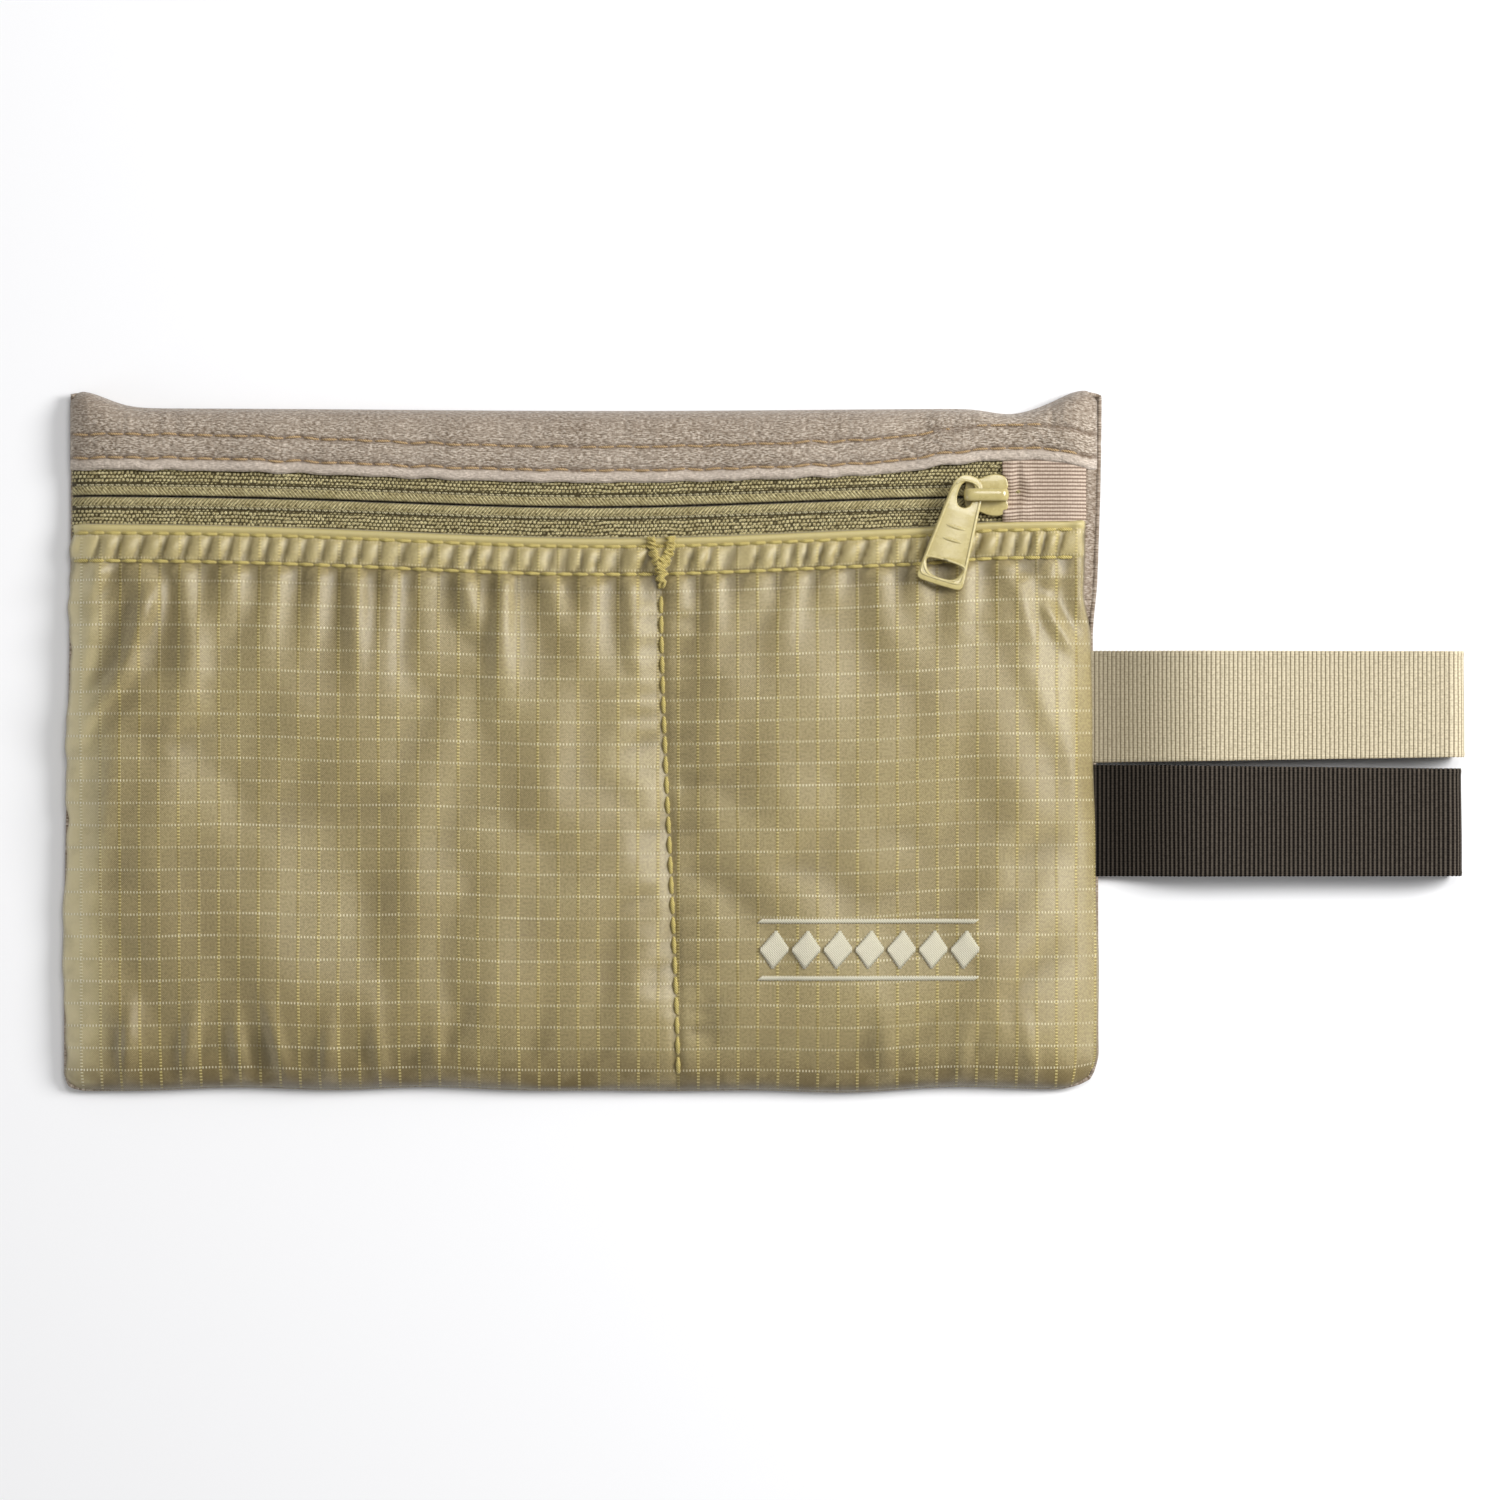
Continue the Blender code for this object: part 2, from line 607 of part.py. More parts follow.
def build():
    parts = clear_scene()
    cutters = bpy.data.collections.new("cutters")
    bpy.context.scene.collection.children.link(cutters)

    ripstop = material("ripstop_khaki", (0.345, 0.295, 0.155), 0.42)
    brushed = material("brushed_beige", (0.455, 0.392, 0.330), 0.95)
    knit = material("zip_tape_olive", (0.215, 0.178, 0.085), 0.85)
    nylon = material("zip_coil_olive", (0.170, 0.140, 0.060), 0.45)
    painted = material("painted_khaki_metal", (0.430, 0.345, 0.125), 0.28)
    tan = material("webbing_tan", (0.590, 0.515, 0.370), 0.70)
    black = material("webbing_black", (0.022, 0.018, 0.015), 0.60)
    tab = material("webbing_end_tab", (0.500, 0.400, 0.320), 0.75)
    gold = material("thread_gold", (0.430, 0.310, 0.075), 0.60)
    ochre = material("thread_ochre", (0.420, 0.265, 0.120), 0.65)
    cream = material("thread_cream", (0.700, 0.640, 0.460), 0.50)

    back_panel(parts, brushed)
    front_panel(parts, ripstop)
    band = top_band(parts, brushed)

    upper, lower = ZIP_Y + SLIT / 2, ZIP_Y - SLIT / 2
    upper_tape = zip_tape(parts, "zip_tape_upper", upper, knit)
    zip_tape(parts, "zip_tape_lower", lower - TAPE_WIDTH, knit)
    upper_coil = zip_coil(parts, "zip_coil_upper", upper + COIL_WIDTH / 2, nylon)
    zip_coil(parts, "zip_coil_lower", lower - COIL_WIDTH / 2, nylon)
    end_tab(parts, tab)

    slider = [slider_body(parts, cutters, painted), slider_crown(parts, painted)]
    pull = pull_tab(parts, painted)

    length = OBJECT_LENGTH / 2 - LOOP_ROOT
    tan_loop = belt_loop(parts, "belt_loop_tan", TAN_MIDDLE, length, tan)
    black_loop = belt_loop(parts, "belt_loop_black", BLACK_MIDDLE, length - BLACK_SHORTER, black)

    chain = {"start": COIL_LEFT, "end": END_TAB_LEFT - GAP}
    band_low, band_high = (BAND_Y + offset for offset in BAND_ROWS)
    hem_high, hem_low = (HEM_Y - offset for offset in HEM_ROWS)
    lip_threads = [
        stitch_row(parts, "band_stitch_lower", band_low, face_height, ochre),
        stitch_row(parts, "band_stitch_upper", band_high, face_height, ochre),
        stitch_row(parts, "coil_stitch_upper", upper + CHAIN_OFFSET, tape_height, knit, **chain),
    ]
    stitch_row(parts, "coil_stitch_lower", lower - CHAIN_OFFSET, tape_height, knit, **chain)
    stitch_row(parts, "hem_stitch_upper", hem_high, face_height, gold)
    stitch_row(parts, "hem_stitch_lower", hem_low, face_height, gold)
    divider_thread(parts, gold)
    bar_tack(parts, gold)
    emblem(parts, cream)
    edge_seam(parts, ochre)

    carry("mouth_lip_axis", (0.0, TOP, RIM), [band, upper_tape, upper_coil, *lip_threads])
    slider_axis = carry("slider_axis", (SLIDER_REAR, ZIP_Y, TAPE_FACE), slider)
    carry("pull_axis", (PULL_X, ZIP_Y, PULL_Z), [pull], slider_axis)
    carry("tan_loop_axis", (LOOP_ROOT, TAN_MIDDLE, LOOP_HINGE), [tan_loop])
    carry("black_loop_axis", (LOOP_ROOT, BLACK_MIDDLE, LOOP_HINGE), [black_loop])


build()
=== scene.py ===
import json
import math

import bmesh
import bpy
import numpy as np
from mathutils import Matrix, Vector


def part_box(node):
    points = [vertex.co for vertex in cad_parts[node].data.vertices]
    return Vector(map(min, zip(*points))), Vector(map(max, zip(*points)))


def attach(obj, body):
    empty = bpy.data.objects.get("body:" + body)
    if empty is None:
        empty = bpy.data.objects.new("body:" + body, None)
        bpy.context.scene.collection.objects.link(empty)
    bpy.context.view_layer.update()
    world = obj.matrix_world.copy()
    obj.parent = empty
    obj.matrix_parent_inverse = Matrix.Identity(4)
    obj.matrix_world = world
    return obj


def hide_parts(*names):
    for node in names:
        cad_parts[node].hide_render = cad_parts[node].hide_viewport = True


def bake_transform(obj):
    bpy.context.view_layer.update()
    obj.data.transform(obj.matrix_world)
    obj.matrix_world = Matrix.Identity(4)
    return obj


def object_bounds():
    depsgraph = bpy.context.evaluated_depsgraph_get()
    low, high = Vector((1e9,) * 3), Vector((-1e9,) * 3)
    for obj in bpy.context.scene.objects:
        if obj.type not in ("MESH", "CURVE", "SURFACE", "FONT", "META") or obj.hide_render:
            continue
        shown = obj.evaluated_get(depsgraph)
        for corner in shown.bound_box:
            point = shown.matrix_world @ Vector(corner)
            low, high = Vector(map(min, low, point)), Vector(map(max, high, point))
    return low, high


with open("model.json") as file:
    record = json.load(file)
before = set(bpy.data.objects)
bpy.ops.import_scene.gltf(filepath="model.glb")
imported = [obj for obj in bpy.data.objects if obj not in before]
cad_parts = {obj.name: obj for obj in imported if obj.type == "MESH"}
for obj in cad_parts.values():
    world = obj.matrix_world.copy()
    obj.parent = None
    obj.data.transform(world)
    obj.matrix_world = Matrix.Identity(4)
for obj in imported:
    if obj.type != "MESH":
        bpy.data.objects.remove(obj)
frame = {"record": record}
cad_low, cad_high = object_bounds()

MM = 0.001

# Places read from the frame
back_low, back_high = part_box("back_panel")
front_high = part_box("front_panel")[1]
band_low, band_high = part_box("top_band")
slider_low, slider_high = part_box("slider_body")
crown_low, crown_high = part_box("slider_crown")
tab_low, tab_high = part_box("zip_end_tab")
emblem_low, emblem_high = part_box("embroidered_ornament")
tan_low, tan_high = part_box("belt_loop_tan")
black_low, black_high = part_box("belt_loop_black")
coil_low, coil_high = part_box("zip_coil_upper")
joints = {joint["name"]: joint for joint in frame["record"]["behaviour"]["joints"]}

LEFT, RIGHT, BOTTOM = back_low.x, back_high.x, back_low.y
EAR_TOP = band_high.y
EAR_RISE = 3.0 * MM
TOP = EAR_TOP - EAR_RISE
HEM_Y, BAND_Y = front_high.y, band_low.y
ZIP_Y = (slider_low.y + slider_high.y) / 2
CROWN, ZIP_FACE, RIM = front_high.z, band_high.z, band_low.z
MIDDLE_X = (LEFT + RIGHT) / 2
CLOTH, FLEECE, TAPE, WEBBING = back_high.z, 0.8 * MM, 0.5 * MM, 0.8 * MM
TAPE_TOP = ZIP_FACE - 0.9 * MM

# Outline: the left side's taper, the right side's waist and the rounded corners
TAPER, TAPER_LOW_Y, TAPER_HIGH_Y = 1.2 * MM, -45 * MM, 40 * MM
WAIST, WAIST_Y, WAIST_SPREAD = 1.0 * MM, 16 * MM, 22 * MM
LEFT_CORNER, RIGHT_CORNER = 4.2 * MM, 7.5 * MM

# How the front face rises from its seams, and how it dips along the divider
BODY_SHOULDER, ZIP_SHOULDER = 22 * MM, 7 * MM
CROWN_HIGH_Y, CROWN_LOW_Y = 37 * MM, 4 * MM
SHOULDER_HIGH_Y, SHOULDER_LOW_Y = 39 * MM, 12 * MM
VALLEY_HIGH_Y, VALLEY_LOW_Y = 36 * MM, 14 * MM
VALLEY_DEPTH, VALLEY_WIDTH = 0.16, 9 * MM
DIVIDER_X, DIVIDER_LEAN, LEAN_HIGH_Y, LEAN_LOW_Y = -18.3 * MM, 3.2 * MM, 30 * MM, -70 * MM

# How far the zip, the hem and the band sag in their middle, and where the band lifts over the slider
# and comes down again past the end tab
SAG_X, SAG_SPREAD = -28 * MM, 52 * MM
ZIP_SAG, ZIP_SAG_X, ZIP_SAG_SPREAD = 2.1 * MM, -31 * MM, 48 * MM
HEM_SAG, HEM_SAG_SPREAD, HEM_RISE = 2.6 * MM, 50 * MM, 0.7 * MM
BAND_SAG, BAND_LIFT = 2.5 * MM, 1.8 * MM
LIFT_START, LIFT_END = 18 * MM, 42 * MM
LIFT_FALL, FALL_START, FALL_END = 0.9, 49 * MM, 60 * MM

# Rows of stitching, as distances below the hem's top edge and above the band's lower edge
HEM_ROWS = (1.7 * MM, 6.7 * MM)
BAND_ROWS = (2.2 * MM, 6.4 * MM)
HEM_PITCH, BAND_PITCH, DIVIDER_PITCH = 2.9 * MM, 3.2 * MM, 3.6 * MM
COIL_SEAM, COIL_STITCH = 1.95 * MM, 1.2 * MM
RIB, TAB_RIB = 0.79 * MM, 0.66 * MM

# The front cloth's simulation. The solver is steadier on large cloth, so it works on an enlarged copy.
SIM_SCALE = 20.0
SIM_COLUMNS, SIM_ROWS, SIM_FRAMES = 150, 86, 40
SIM_BEND, SIM_PRESSURE = 0.15, 0.05
EASE = 0.006
FOLD_LIMIT = 0.7 * MM

# Belt loops: the webbing's width, how far its ends reach into the side seam, and the share of its
# length over which its upper side rises
WEBBING_WIDTH, ROOT_TUCK, RISE_SHARE = 20 * MM, 2.2 * MM, 0.33

# A stretch of a belt loop from its seam; no loop is bent with it here
LOOP_BEND = 4.2 * MM

# The pull tab's turn in the pouch's plane and its tilt, and the angle from which an edge is sharp
PULL_TURN, PULL_TILT, SHARP = math.radians(17), math.radians(4), math.radians(50)

# Points across and up each cloth
FRONT_COLUMNS, FRONT_BODY_ROWS, FRONT_HEM_ROWS = 352, 100, 37
BACK_COLUMNS, BACK_ROWS = 240, 170
BAND_COLUMNS, BAND_STEPS = 420, 62
TAPE_COLUMNS, TAPE_STEPS = 1000, 50
TAB_COLUMNS, TAB_STEPS = 90, 112
LOOP_STRAIGHT, LOOP_FOLD, POINTS_PER_RIB = 300, 60, 6

# How much brighter than plain white the floor is lit, so that it stays white in a soft shadow
LIGHT_LEVEL = 1.10


def smooth(value, low, high):
    """0 at low, 1 at high, and an even S-curve between them."""
    share = np.clip((value - low) / (high - low), 0.0, 1.0)
    return share * share * (3 - 2 * share)


def shoulder(distance, width):
    """A quarter ellipse: 0 at the seam and 1 once distance reaches width."""
    share = np.clip(distance / width, 0.0, 1.0)
    return np.sqrt(1 - (1 - share) ** 2)


def bell(value, middle, spread):
    return np.exp(-(((value - middle) / spread) ** 2))


def wave(value, pitch):
    """0 to 1 and back once every pitch, with its top at 0."""
    return 0.5 + 0.5 * np.cos(2 * math.pi * value / pitch)


def ripple(x, y, wavelength, seed, waves=22):
    """Smooth random relief about one unit high, as sine waves in many directions."""
    draw = np.random.default_rng(seed)
    total = np.zeros(np.broadcast(x, y).shape)
    for _ in range(waves):
        angle = draw.uniform(0, 2 * math.pi)
        size = wavelength * draw.uniform(0.7, 1.5)
        phase = draw.uniform(0, 2 * math.pi)
        along = x * math.cos(angle) + y * math.sin(angle)
        total += np.cos(2 * math.pi * along / size + phase)
    return total / math.sqrt(waves / 2)


def crowded(count, share):
    """Shares from 0 to 1, closer together near both ends."""
    even = np.linspace(0, 1, count)
    return even - share * np.sin(2 * math.pi * even) / (2 * math.pi)


# The pouch's outline and surfaces


def left_edge(y):
    return LEFT + TAPER * smooth(y, TAPER_LOW_Y, TAPER_HIGH_Y)


def right_edge(y):
    return RIGHT - WAIST * bell(y, WAIST_Y, WAIST_SPREAD)


def panel_left(y):
    """Where the front cloth turns at the left, a little uneven as sewn edges are."""
    return left_edge(y) + 0.20 * MM * ripple(y, 0, 30 * MM, 3, 6) + 0.10 * MM * ripple(y, 0, 5 * MM, 6, 8)


def panel_right(y):
    """Where the front cloth turns at the right; near the zip it leaves a strip of the back cloth."""
    inset = 1.9 * MM * smooth(y, 17 * MM, 27 * MM) + 0.15 * MM
    return right_edge(y) - inset + 0.15 * MM * ripple(y, 0, 26 * MM, 8, 6)


def panel_base(x):
    return BOTTOM + 0.25 * MM * (1 + ripple(x, 0, 36 * MM, 5, 6)) * smooth(x - LEFT, 0, 20 * MM)


def divider_x(y):
    return DIVIDER_X + DIVIDER_LEAN * smooth(-y, -LEAN_HIGH_Y, -LEAN_LOW_Y)


def sag(x):
    return bell(x, SAG_X, SAG_SPREAD)


def lift(x):
    """The band's rise over the slider and the end tab."""
    return smooth(x, LIFT_START, LIFT_END) * (1 - LIFT_FALL * smooth(x, FALL_START, FALL_END))


def zip_line(x):
    return ZIP_Y - ZIP_SAG * bell(x, ZIP_SAG_X, ZIP_SAG_SPREAD)


def hem_line(x):
    """The hem's folded top edge."""
    rise = HEM_RISE * smooth(x, 25 * MM, 43 * MM)
    return HEM_Y - HEM_SAG * bell(x, SAG_X, HEM_SAG_SPREAD) + rise


def band_line(x):
    """The band's lower edge, just above the zip."""
    rough = 0.12 * MM * ripple(x, 0, 5 * MM, 12, 8)
    return BAND_Y + 0.3 * MM - BAND_SAG * sag(x) + BAND_LIFT * lift(x) + rough


def top_line(x):
    """The top fold, with the turned corners standing up at both ends."""
    left = 3.0 * MM * bell(x, LEFT + 3.0 * MM, 6.5 * MM)
    right = 3.2 * MM * bell(x, RIGHT - 2.6 * MM, 6.0 * MM)
    dip = 1.0 * MM * bell(x, 44.5 * MM, 5 * MM)
    return TOP - 0.1 * MM - 0.5 * MM * sag(x) + left + right - dip


def corner_cut(x, y, corner_x, corner_y, radius):
    """Moves points of a corner's square onto a quarter disc of the same radius."""
    centre_x = corner_x + math.copysign(radius, -corner_x)
    centre_y = corner_y + math.copysign(radius, -corner_y)
    across = (x - centre_x) / (corner_x - centre_x)
    up = (y - centre_y) / (corner_y - centre_y)
    inside = (across > 0) & (up > 0)
    across, up = np.clip(across, 0, 1.2), np.clip(up, 0, 1.2)
    cut_x = centre_x + (corner_x - centre_x) * across * np.sqrt(1 - up * up / 2)
    cut_y = centre_y + (corner_y - centre_y) * up * np.sqrt(1 - across * across / 2)
    return np.where(inside, cut_x, x), np.where(inside, cut_y, y)


def pouch_corners(x, y):
    x, y = corner_cut(x, y, LEFT, BOTTOM, LEFT_CORNER)
    return corner_cut(x, y, RIGHT, BOTTOM, RIGHT_CORNER)


def face_height(x, y):
    """Height of the front cloth's outer face before it is gathered and folded."""
    crown = ZIP_FACE + (CROWN - ZIP_FACE) * smooth(-y, -CROWN_HIGH_Y, -CROWN_LOW_Y)
    rounding = smooth(-y, -SHOULDER_HIGH_Y, -SHOULDER_LOW_Y)
    width = ZIP_SHOULDER + (BODY_SHOULDER - ZIP_SHOULDER) * rounding
    sides = shoulder(x - panel_left(y), width) * shoulder(panel_right(y) - x, width)
    base = shoulder(y - panel_base(x), BODY_SHOULDER)
    sewn = VALLEY_DEPTH * smooth(-y, -VALLEY_HIGH_Y, -VALLEY_LOW_Y)
    valley = 1 - sewn * (1 - smooth(np.abs(x - divider_x(y)), 0.0, VALLEY_WIDTH))
    return RIM + (crown - RIM) * sides * base * valley


def gathers(x, y):
    """Upright folds that run down from the hem's lower row, where the cloth is eased in."""
    draw = np.random.default_rng(4)
    drop = hem_line(x) - HEM_ROWS[1] - y
    total = np.zeros(np.broadcast(x, y).shape)
    at = LEFT + 7 * MM
    while at < RIGHT - 8 * MM:
        strong = 1.0 if at < -20 * MM else 0.6
        reach = draw.uniform(9, 36) * MM
        width = draw.uniform(1.5, 2.7) * MM
        height = strong * draw.uniform(1.1, 2.2) * MM
        lean = draw.uniform(-0.20, 0.12)
        fade = smooth(drop, -1.5 * MM, 2.5 * MM) * (1 - smooth(drop, 0.3 * reach, reach))
        spread = width * (1 + np.clip(drop / reach, 0, 1))
        total += height * bell(x, at + lean * drop, spread) * fade
        at += draw.uniform(5.6, 9.2) * MM
    return total


def hem_puckers(x, y):
    """Slanted puckers between the hem's two rows, and a dent at every stitch."""
    below = hem_line(x) - y
    between = np.clip((below - HEM_ROWS[0]) / (HEM_ROWS[1] - HEM_ROWS[0]), 0, 1)
    drift = 0.9 * MM * ripple(x, 0, 22 * MM, 14, 8)
    uneven = np.clip(0.78 + 0.3 * ripple(x, 0, 8 * MM, 15, 8), 0.25, 1.2)
    slant = np.sqrt(wave(x + 0.30 * below + drift, 3.6 * MM))
    relief = 1.35 * MM * np.sin(math.pi * between) ** 0.6 * slant * uneven
    for row in HEM_ROWS:
        relief -= 0.24 * MM * bell(below, row, 0.5 * MM) * (0.5 + 0.5 * wave(x, HEM_PITCH))
    return relief


def divider_dent(x, y):
    """The narrow groove of the divider seam and the small folds that it pulls."""
    away = x - divider_x(y)
    below = smooth(hem_line(x) - y, HEM_ROWS[1], HEM_ROWS[1] + 5 * MM)
    groove = -0.65 * MM * bell(away, 0, 1.0 * MM)
    pulls = 0.12 * MM * ripple(away * 0.25, y, 4.5 * MM, 17) * bell(np.abs(away), 3.2 * MM, 3.2 * MM)
    return (groove + pulls) * below


# Folds, listed one by one: (x, y, angle in degrees, half length, half width, height), in millimetres
FOLDS = [
    (-111, 23, 71, 10, 2.3, 2.4), (-117.5, 9, 52, 8, 2.4, 2.2), (-119, 27, 52, 7, 2.2, -1.4),
    (-103, 12, 76, 13, 3.2, 0.9), (-118, -12, 84, 14, 2.6, 0.8), (-72.5, 22, 88, 14, 2.0, 0.9),
    (-114, -54, 84, 7, 1.6, 1.3), (-103, -55, 80, 7, 1.7, 1.2), (-94, -56, 96, 7, 1.6, 1.3),
    (-87, -55, 102, 8, 1.5, 1.2), (-78, -56, 84, 7, 1.7, 1.2), (-69, -56, 95, 8, 1.6, 1.0),
    (-59, -56, 86, 8, 1.8, 0.8), (-50, -50, 74, 12, 2.6, 0.6), (22, -56, 94, 8, 1.8, 0.6),
    (36, -57, 84, 7, 1.6, 0.7), (48, -56, 100, 7, 1.6, 0.7),
    (47, 25, -78, 8, 1.9, 1.6), (53, 21, -56, 7, 1.6, 1.5), (52, 30, 12, 6, 1.7, 1.0),
    (49, 10, -68, 12, 2.6, 0.8), (56, -2, 96, 15, 2.4, 0.7),
    (30, 12, -78, 18, 4.0, 0.7), (8, 4, 82, 20, 4.5, 0.7), (-60, -8, 80, 24, 5.5, 0.8),
    (-88, -18, 96, 22, 5.0, 0.8), (-36, 2, 86, 20, 4.0, 0.8), (44, -40, 58, 12, 3.0, 0.6),
]


def hand_folds(x, y):
    total = np.zeros(np.broadcast(x, y).shape)
    for at_x, at_y, angle, long, wide, height in FOLDS:
        turn = math.radians(angle)
        dx, dy = x - at_x * MM, y - at_y * MM
        along = dx * math.cos(turn) + dy * math.sin(turn)
        across = -dx * math.sin(turn) + dy * math.cos(turn)
        total += height * MM * bell(along, 0, long * MM) * bell(across, 0, wide * MM)
    return total


def sewn_height(x, y):
    """The front cloth's outer face as it is sewn and eased in; its folds fade where it is held down."""
    edge = np.minimum(x - panel_left(y), panel_right(y) - x)
    free = shoulder(edge, 7 * MM) * shoulder(y - panel_base(x) - 1 * MM, 4 * MM)
    below = hem_line(x) - y
    hem_free = smooth(below, HEM_ROWS[1] - 1 * MM, HEM_ROWS[1] + 8 * MM)
    soft = 0.38 * MM * ripple(x, y * 0.5, 30 * MM, 21) + 0.14 * MM * ripple(x, y * 0.6, 11 * MM, 22)
    folds = gathers(x, y) + (hand_folds(x, y) + soft) * hem_free
    flat = face_height(x, y)
    flat = flat + 2.5 * MM * smooth(y, 16 * MM, 26 * MM) * bell(panel_right(y) - x, 0, 2.5 * MM)
    turned = 0.30 * MM * bell(below, 0.8 * MM, 0.5 * MM) - 0.6 * MM * (1 - shoulder(below, 0.6 * MM))
    puckers = hem_puckers(x, y) * shoulder(edge, 4 * MM)
    return flat + folds * free + divider_dent(x, y) * free + puckers + turned


def panel_place(u, v):
    """The front cloth's place at shares u of its width and v of its height."""
    y = BOTTOM + (HEM_Y - BOTTOM) * v
    x = panel_left(y) + (panel_right(y) - panel_left(y)) * u
    return x, panel_base(x) + (hem_line(x) - panel_base(x)) * v


def panel_share(x, y):
    """The shares of width and height at a place on the front cloth."""
    v = np.clip((y - panel_base(x)) / (hem_line(x) - panel_base(x)), 0, 1)
    level = BOTTOM + (HEM_Y - BOTTOM) * v
    u = (x - panel_left(level)) / (panel_right(level) - panel_left(level))
    return np.clip(u, 0, 1), v


def resample(table, u, v):
    """Smooth values between a table's own, at shares u and v of its two sides."""
    total = 0.0
    columns, rows = table.shape
    at_u, at_v = u * (columns - 1), v * (rows - 1)
    i, j = np.floor(at_u).astype(int), np.floor(at_v).astype(int)

    def weights(t):
        return (
            (1 - t) ** 3 / 6, (3 * t**3 - 6 * t**2 + 4) / 6,
            (-3 * t**3 + 3 * t**2 + 3 * t + 1) / 6, t**3 / 6,
        )

    for step_i, weight_i in enumerate(weights(at_u - i)):
        row = np.clip(i + step_i - 1, 0, columns - 1)
        for step_j, weight_j in enumerate(weights(at_v - j)):
            column = np.clip(j + step_j - 1, 0, rows - 1)
            total = total + weight_i * weight_j * table[row, column]
    return total


def simulate_panel():
    """Folds of the front cloth, in metres of height over a grid. It is cut a little larger than the
    outline it is sewn to, is held along its edges, hem and divider, and is pressed out from inside."""
    u, v = np.meshgrid(np.linspace(0, 1, SIM_COLUMNS), np.linspace(0, 1, SIM_ROWS), indexing="ij")
    x, y = panel_place(u, v)
    z = sewn_height(x, y)
    mesh = bpy.data.meshes.new("settling")
    start = xyz(x, y, z).reshape(-1, 3) * SIM_SCALE
    mesh.from_pydata(start.tolist(), [], grid_faces(SIM_COLUMNS, SIM_ROWS).tolist())
    made = bpy.data.objects.new("settling", mesh)
    bpy.context.scene.collection.objects.link(made)

    edge = np.minimum(x - panel_left(y), panel_right(y) - x)
    held = (edge < 2 * MM) | (y - BOTTOM < 2 * MM) | (hem_line(x) - y < HEM_ROWS[1] + 1 * MM)
    held |= np.abs(x - divider_x(y)) < 1.0 * MM
    sewn = made.vertex_groups.new(name="sewn")
    sewn.add(np.flatnonzero(held.ravel()).tolist(), 1.0, "REPLACE")

    settle = made.modifiers.new("settle", "CLOTH")
    rules = settle.settings
    rules.quality = 6
    rules.mass = 0.2
    rules.tension_stiffness = 25
    rules.compression_stiffness = 25
    rules.shear_stiffness = 8
    rules.bending_stiffness = SIM_BEND
    rules.air_damping = 3
    rules.shrink_min = -EASE
    rules.vertex_group_mass = "sewn"
    rules.use_pressure = True
    rules.uniform_pressure_force = SIM_PRESSURE
    rules.effector_weights.gravity = 0
    settle.collision_settings.use_collision = False
    settle.point_cache.frame_end = SIM_FRAMES
    for step in range(1, SIM_FRAMES + 1):
        bpy.context.scene.frame_set(step)
    bpy.context.view_layer.update()
    settled = made.evaluated_get(bpy.context.evaluated_depsgraph_get()).to_mesh()
    points = np.zeros(len(settled.vertices) * 3)
    settled.vertices.foreach_get("co", points)
    rise = points.reshape(SIM_COLUMNS, SIM_ROWS, 3)[:, :, 2] / SIM_SCALE - z
    rise = rise * smooth(edge, 1 * MM, 14 * MM) * smooth(y - BOTTOM, 1 * MM, 12 * MM)
    bpy.data.objects.remove(made)
    bpy.data.meshes.remove(mesh)
    bpy.context.scene.frame_set(1)
    return FOLD_LIMIT * np.tanh(rise / FOLD_LIMIT)


def panel_height(x, y):
    """The front cloth's outer face with its simulated folds."""
    return sewn_height(x, y) + resample(settled_folds, *panel_share(x, y))


# Meshes


def xyz(x, y, z):
    return np.stack([x, y, z], axis=-1)


def grid_faces(columns, rows):
    corner = (np.arange(columns - 1)[:, None] * rows + np.arange(rows - 1)).reshape(-1, 1)
    return corner + np.array([0, rows, rows + 1, 1])


def new_object(name, mesh, finish):
    made = bpy.data.objects.new(name, mesh)
    bpy.context.scene.collection.objects.link(made)
    mesh.materials.append(finish)
    return made


def mark_cloth(mesh, flat, shade, layers=1):
    """Stores the flat cloth coordinates, and the painted shade at each place, on a mesh's points."""
    none = np.zeros(flat[0].shape)
    place = np.stack([*flat, none], axis=-1)
    dark = (none if shade is None else shade)[:, :, None]
    for name, kind, field, values in (
        ("flat", "FLOAT_VECTOR", "vector", place), ("shade", "FLOAT", "value", dark),
    ):
        stored = mesh.attributes.new(name, kind, "POINT")
        repeated = np.repeat(values[:, :, None, :], layers, axis=2)
        stored.data.foreach_set(field, repeated.astype(np.float32).ravel())


def hollows(z, depth, rounds=14):
    """0 to 1 where a surface lies lower than what is round it; it places painted shade in hollows."""
    level = z
    for _ in range(rounds):
        around = np.pad(level, 1, mode="edge")
        level = (around[2:, 1:-1] + around[:-2, 1:-1] + around[1:-1, 2:] + around[1:-1, :-2]) / 4
    return np.clip((level - z) / depth, 0, 1)


def cloth(name, points, flat, finish, thickness, offset=-1.0, shade=None):
    """A sheet through a grid of points, columns by rows by 3, with its flat cloth coordinates."""
    columns, rows = points.shape[:2]
    mesh = bpy.data.meshes.new(name)
    mesh.from_pydata(points.reshape(-1, 3).tolist(), [], grid_faces(columns, rows).tolist())
    mark_cloth(mesh, flat, shade)
    mesh.shade_smooth()
    made = new_object(name, mesh, finish)
    solid = made.modifiers.new("thickness", "SOLIDIFY")
    solid.thickness = thickness
    solid.offset = offset
    return made


def grid_normals(points):
    along, across = np.gradient(points, axis=0), np.gradient(points, axis=1)
    normals = np.cross(along, across)
    return normals / np.maximum(np.linalg.norm(normals, axis=-1, keepdims=True), 1e-12)


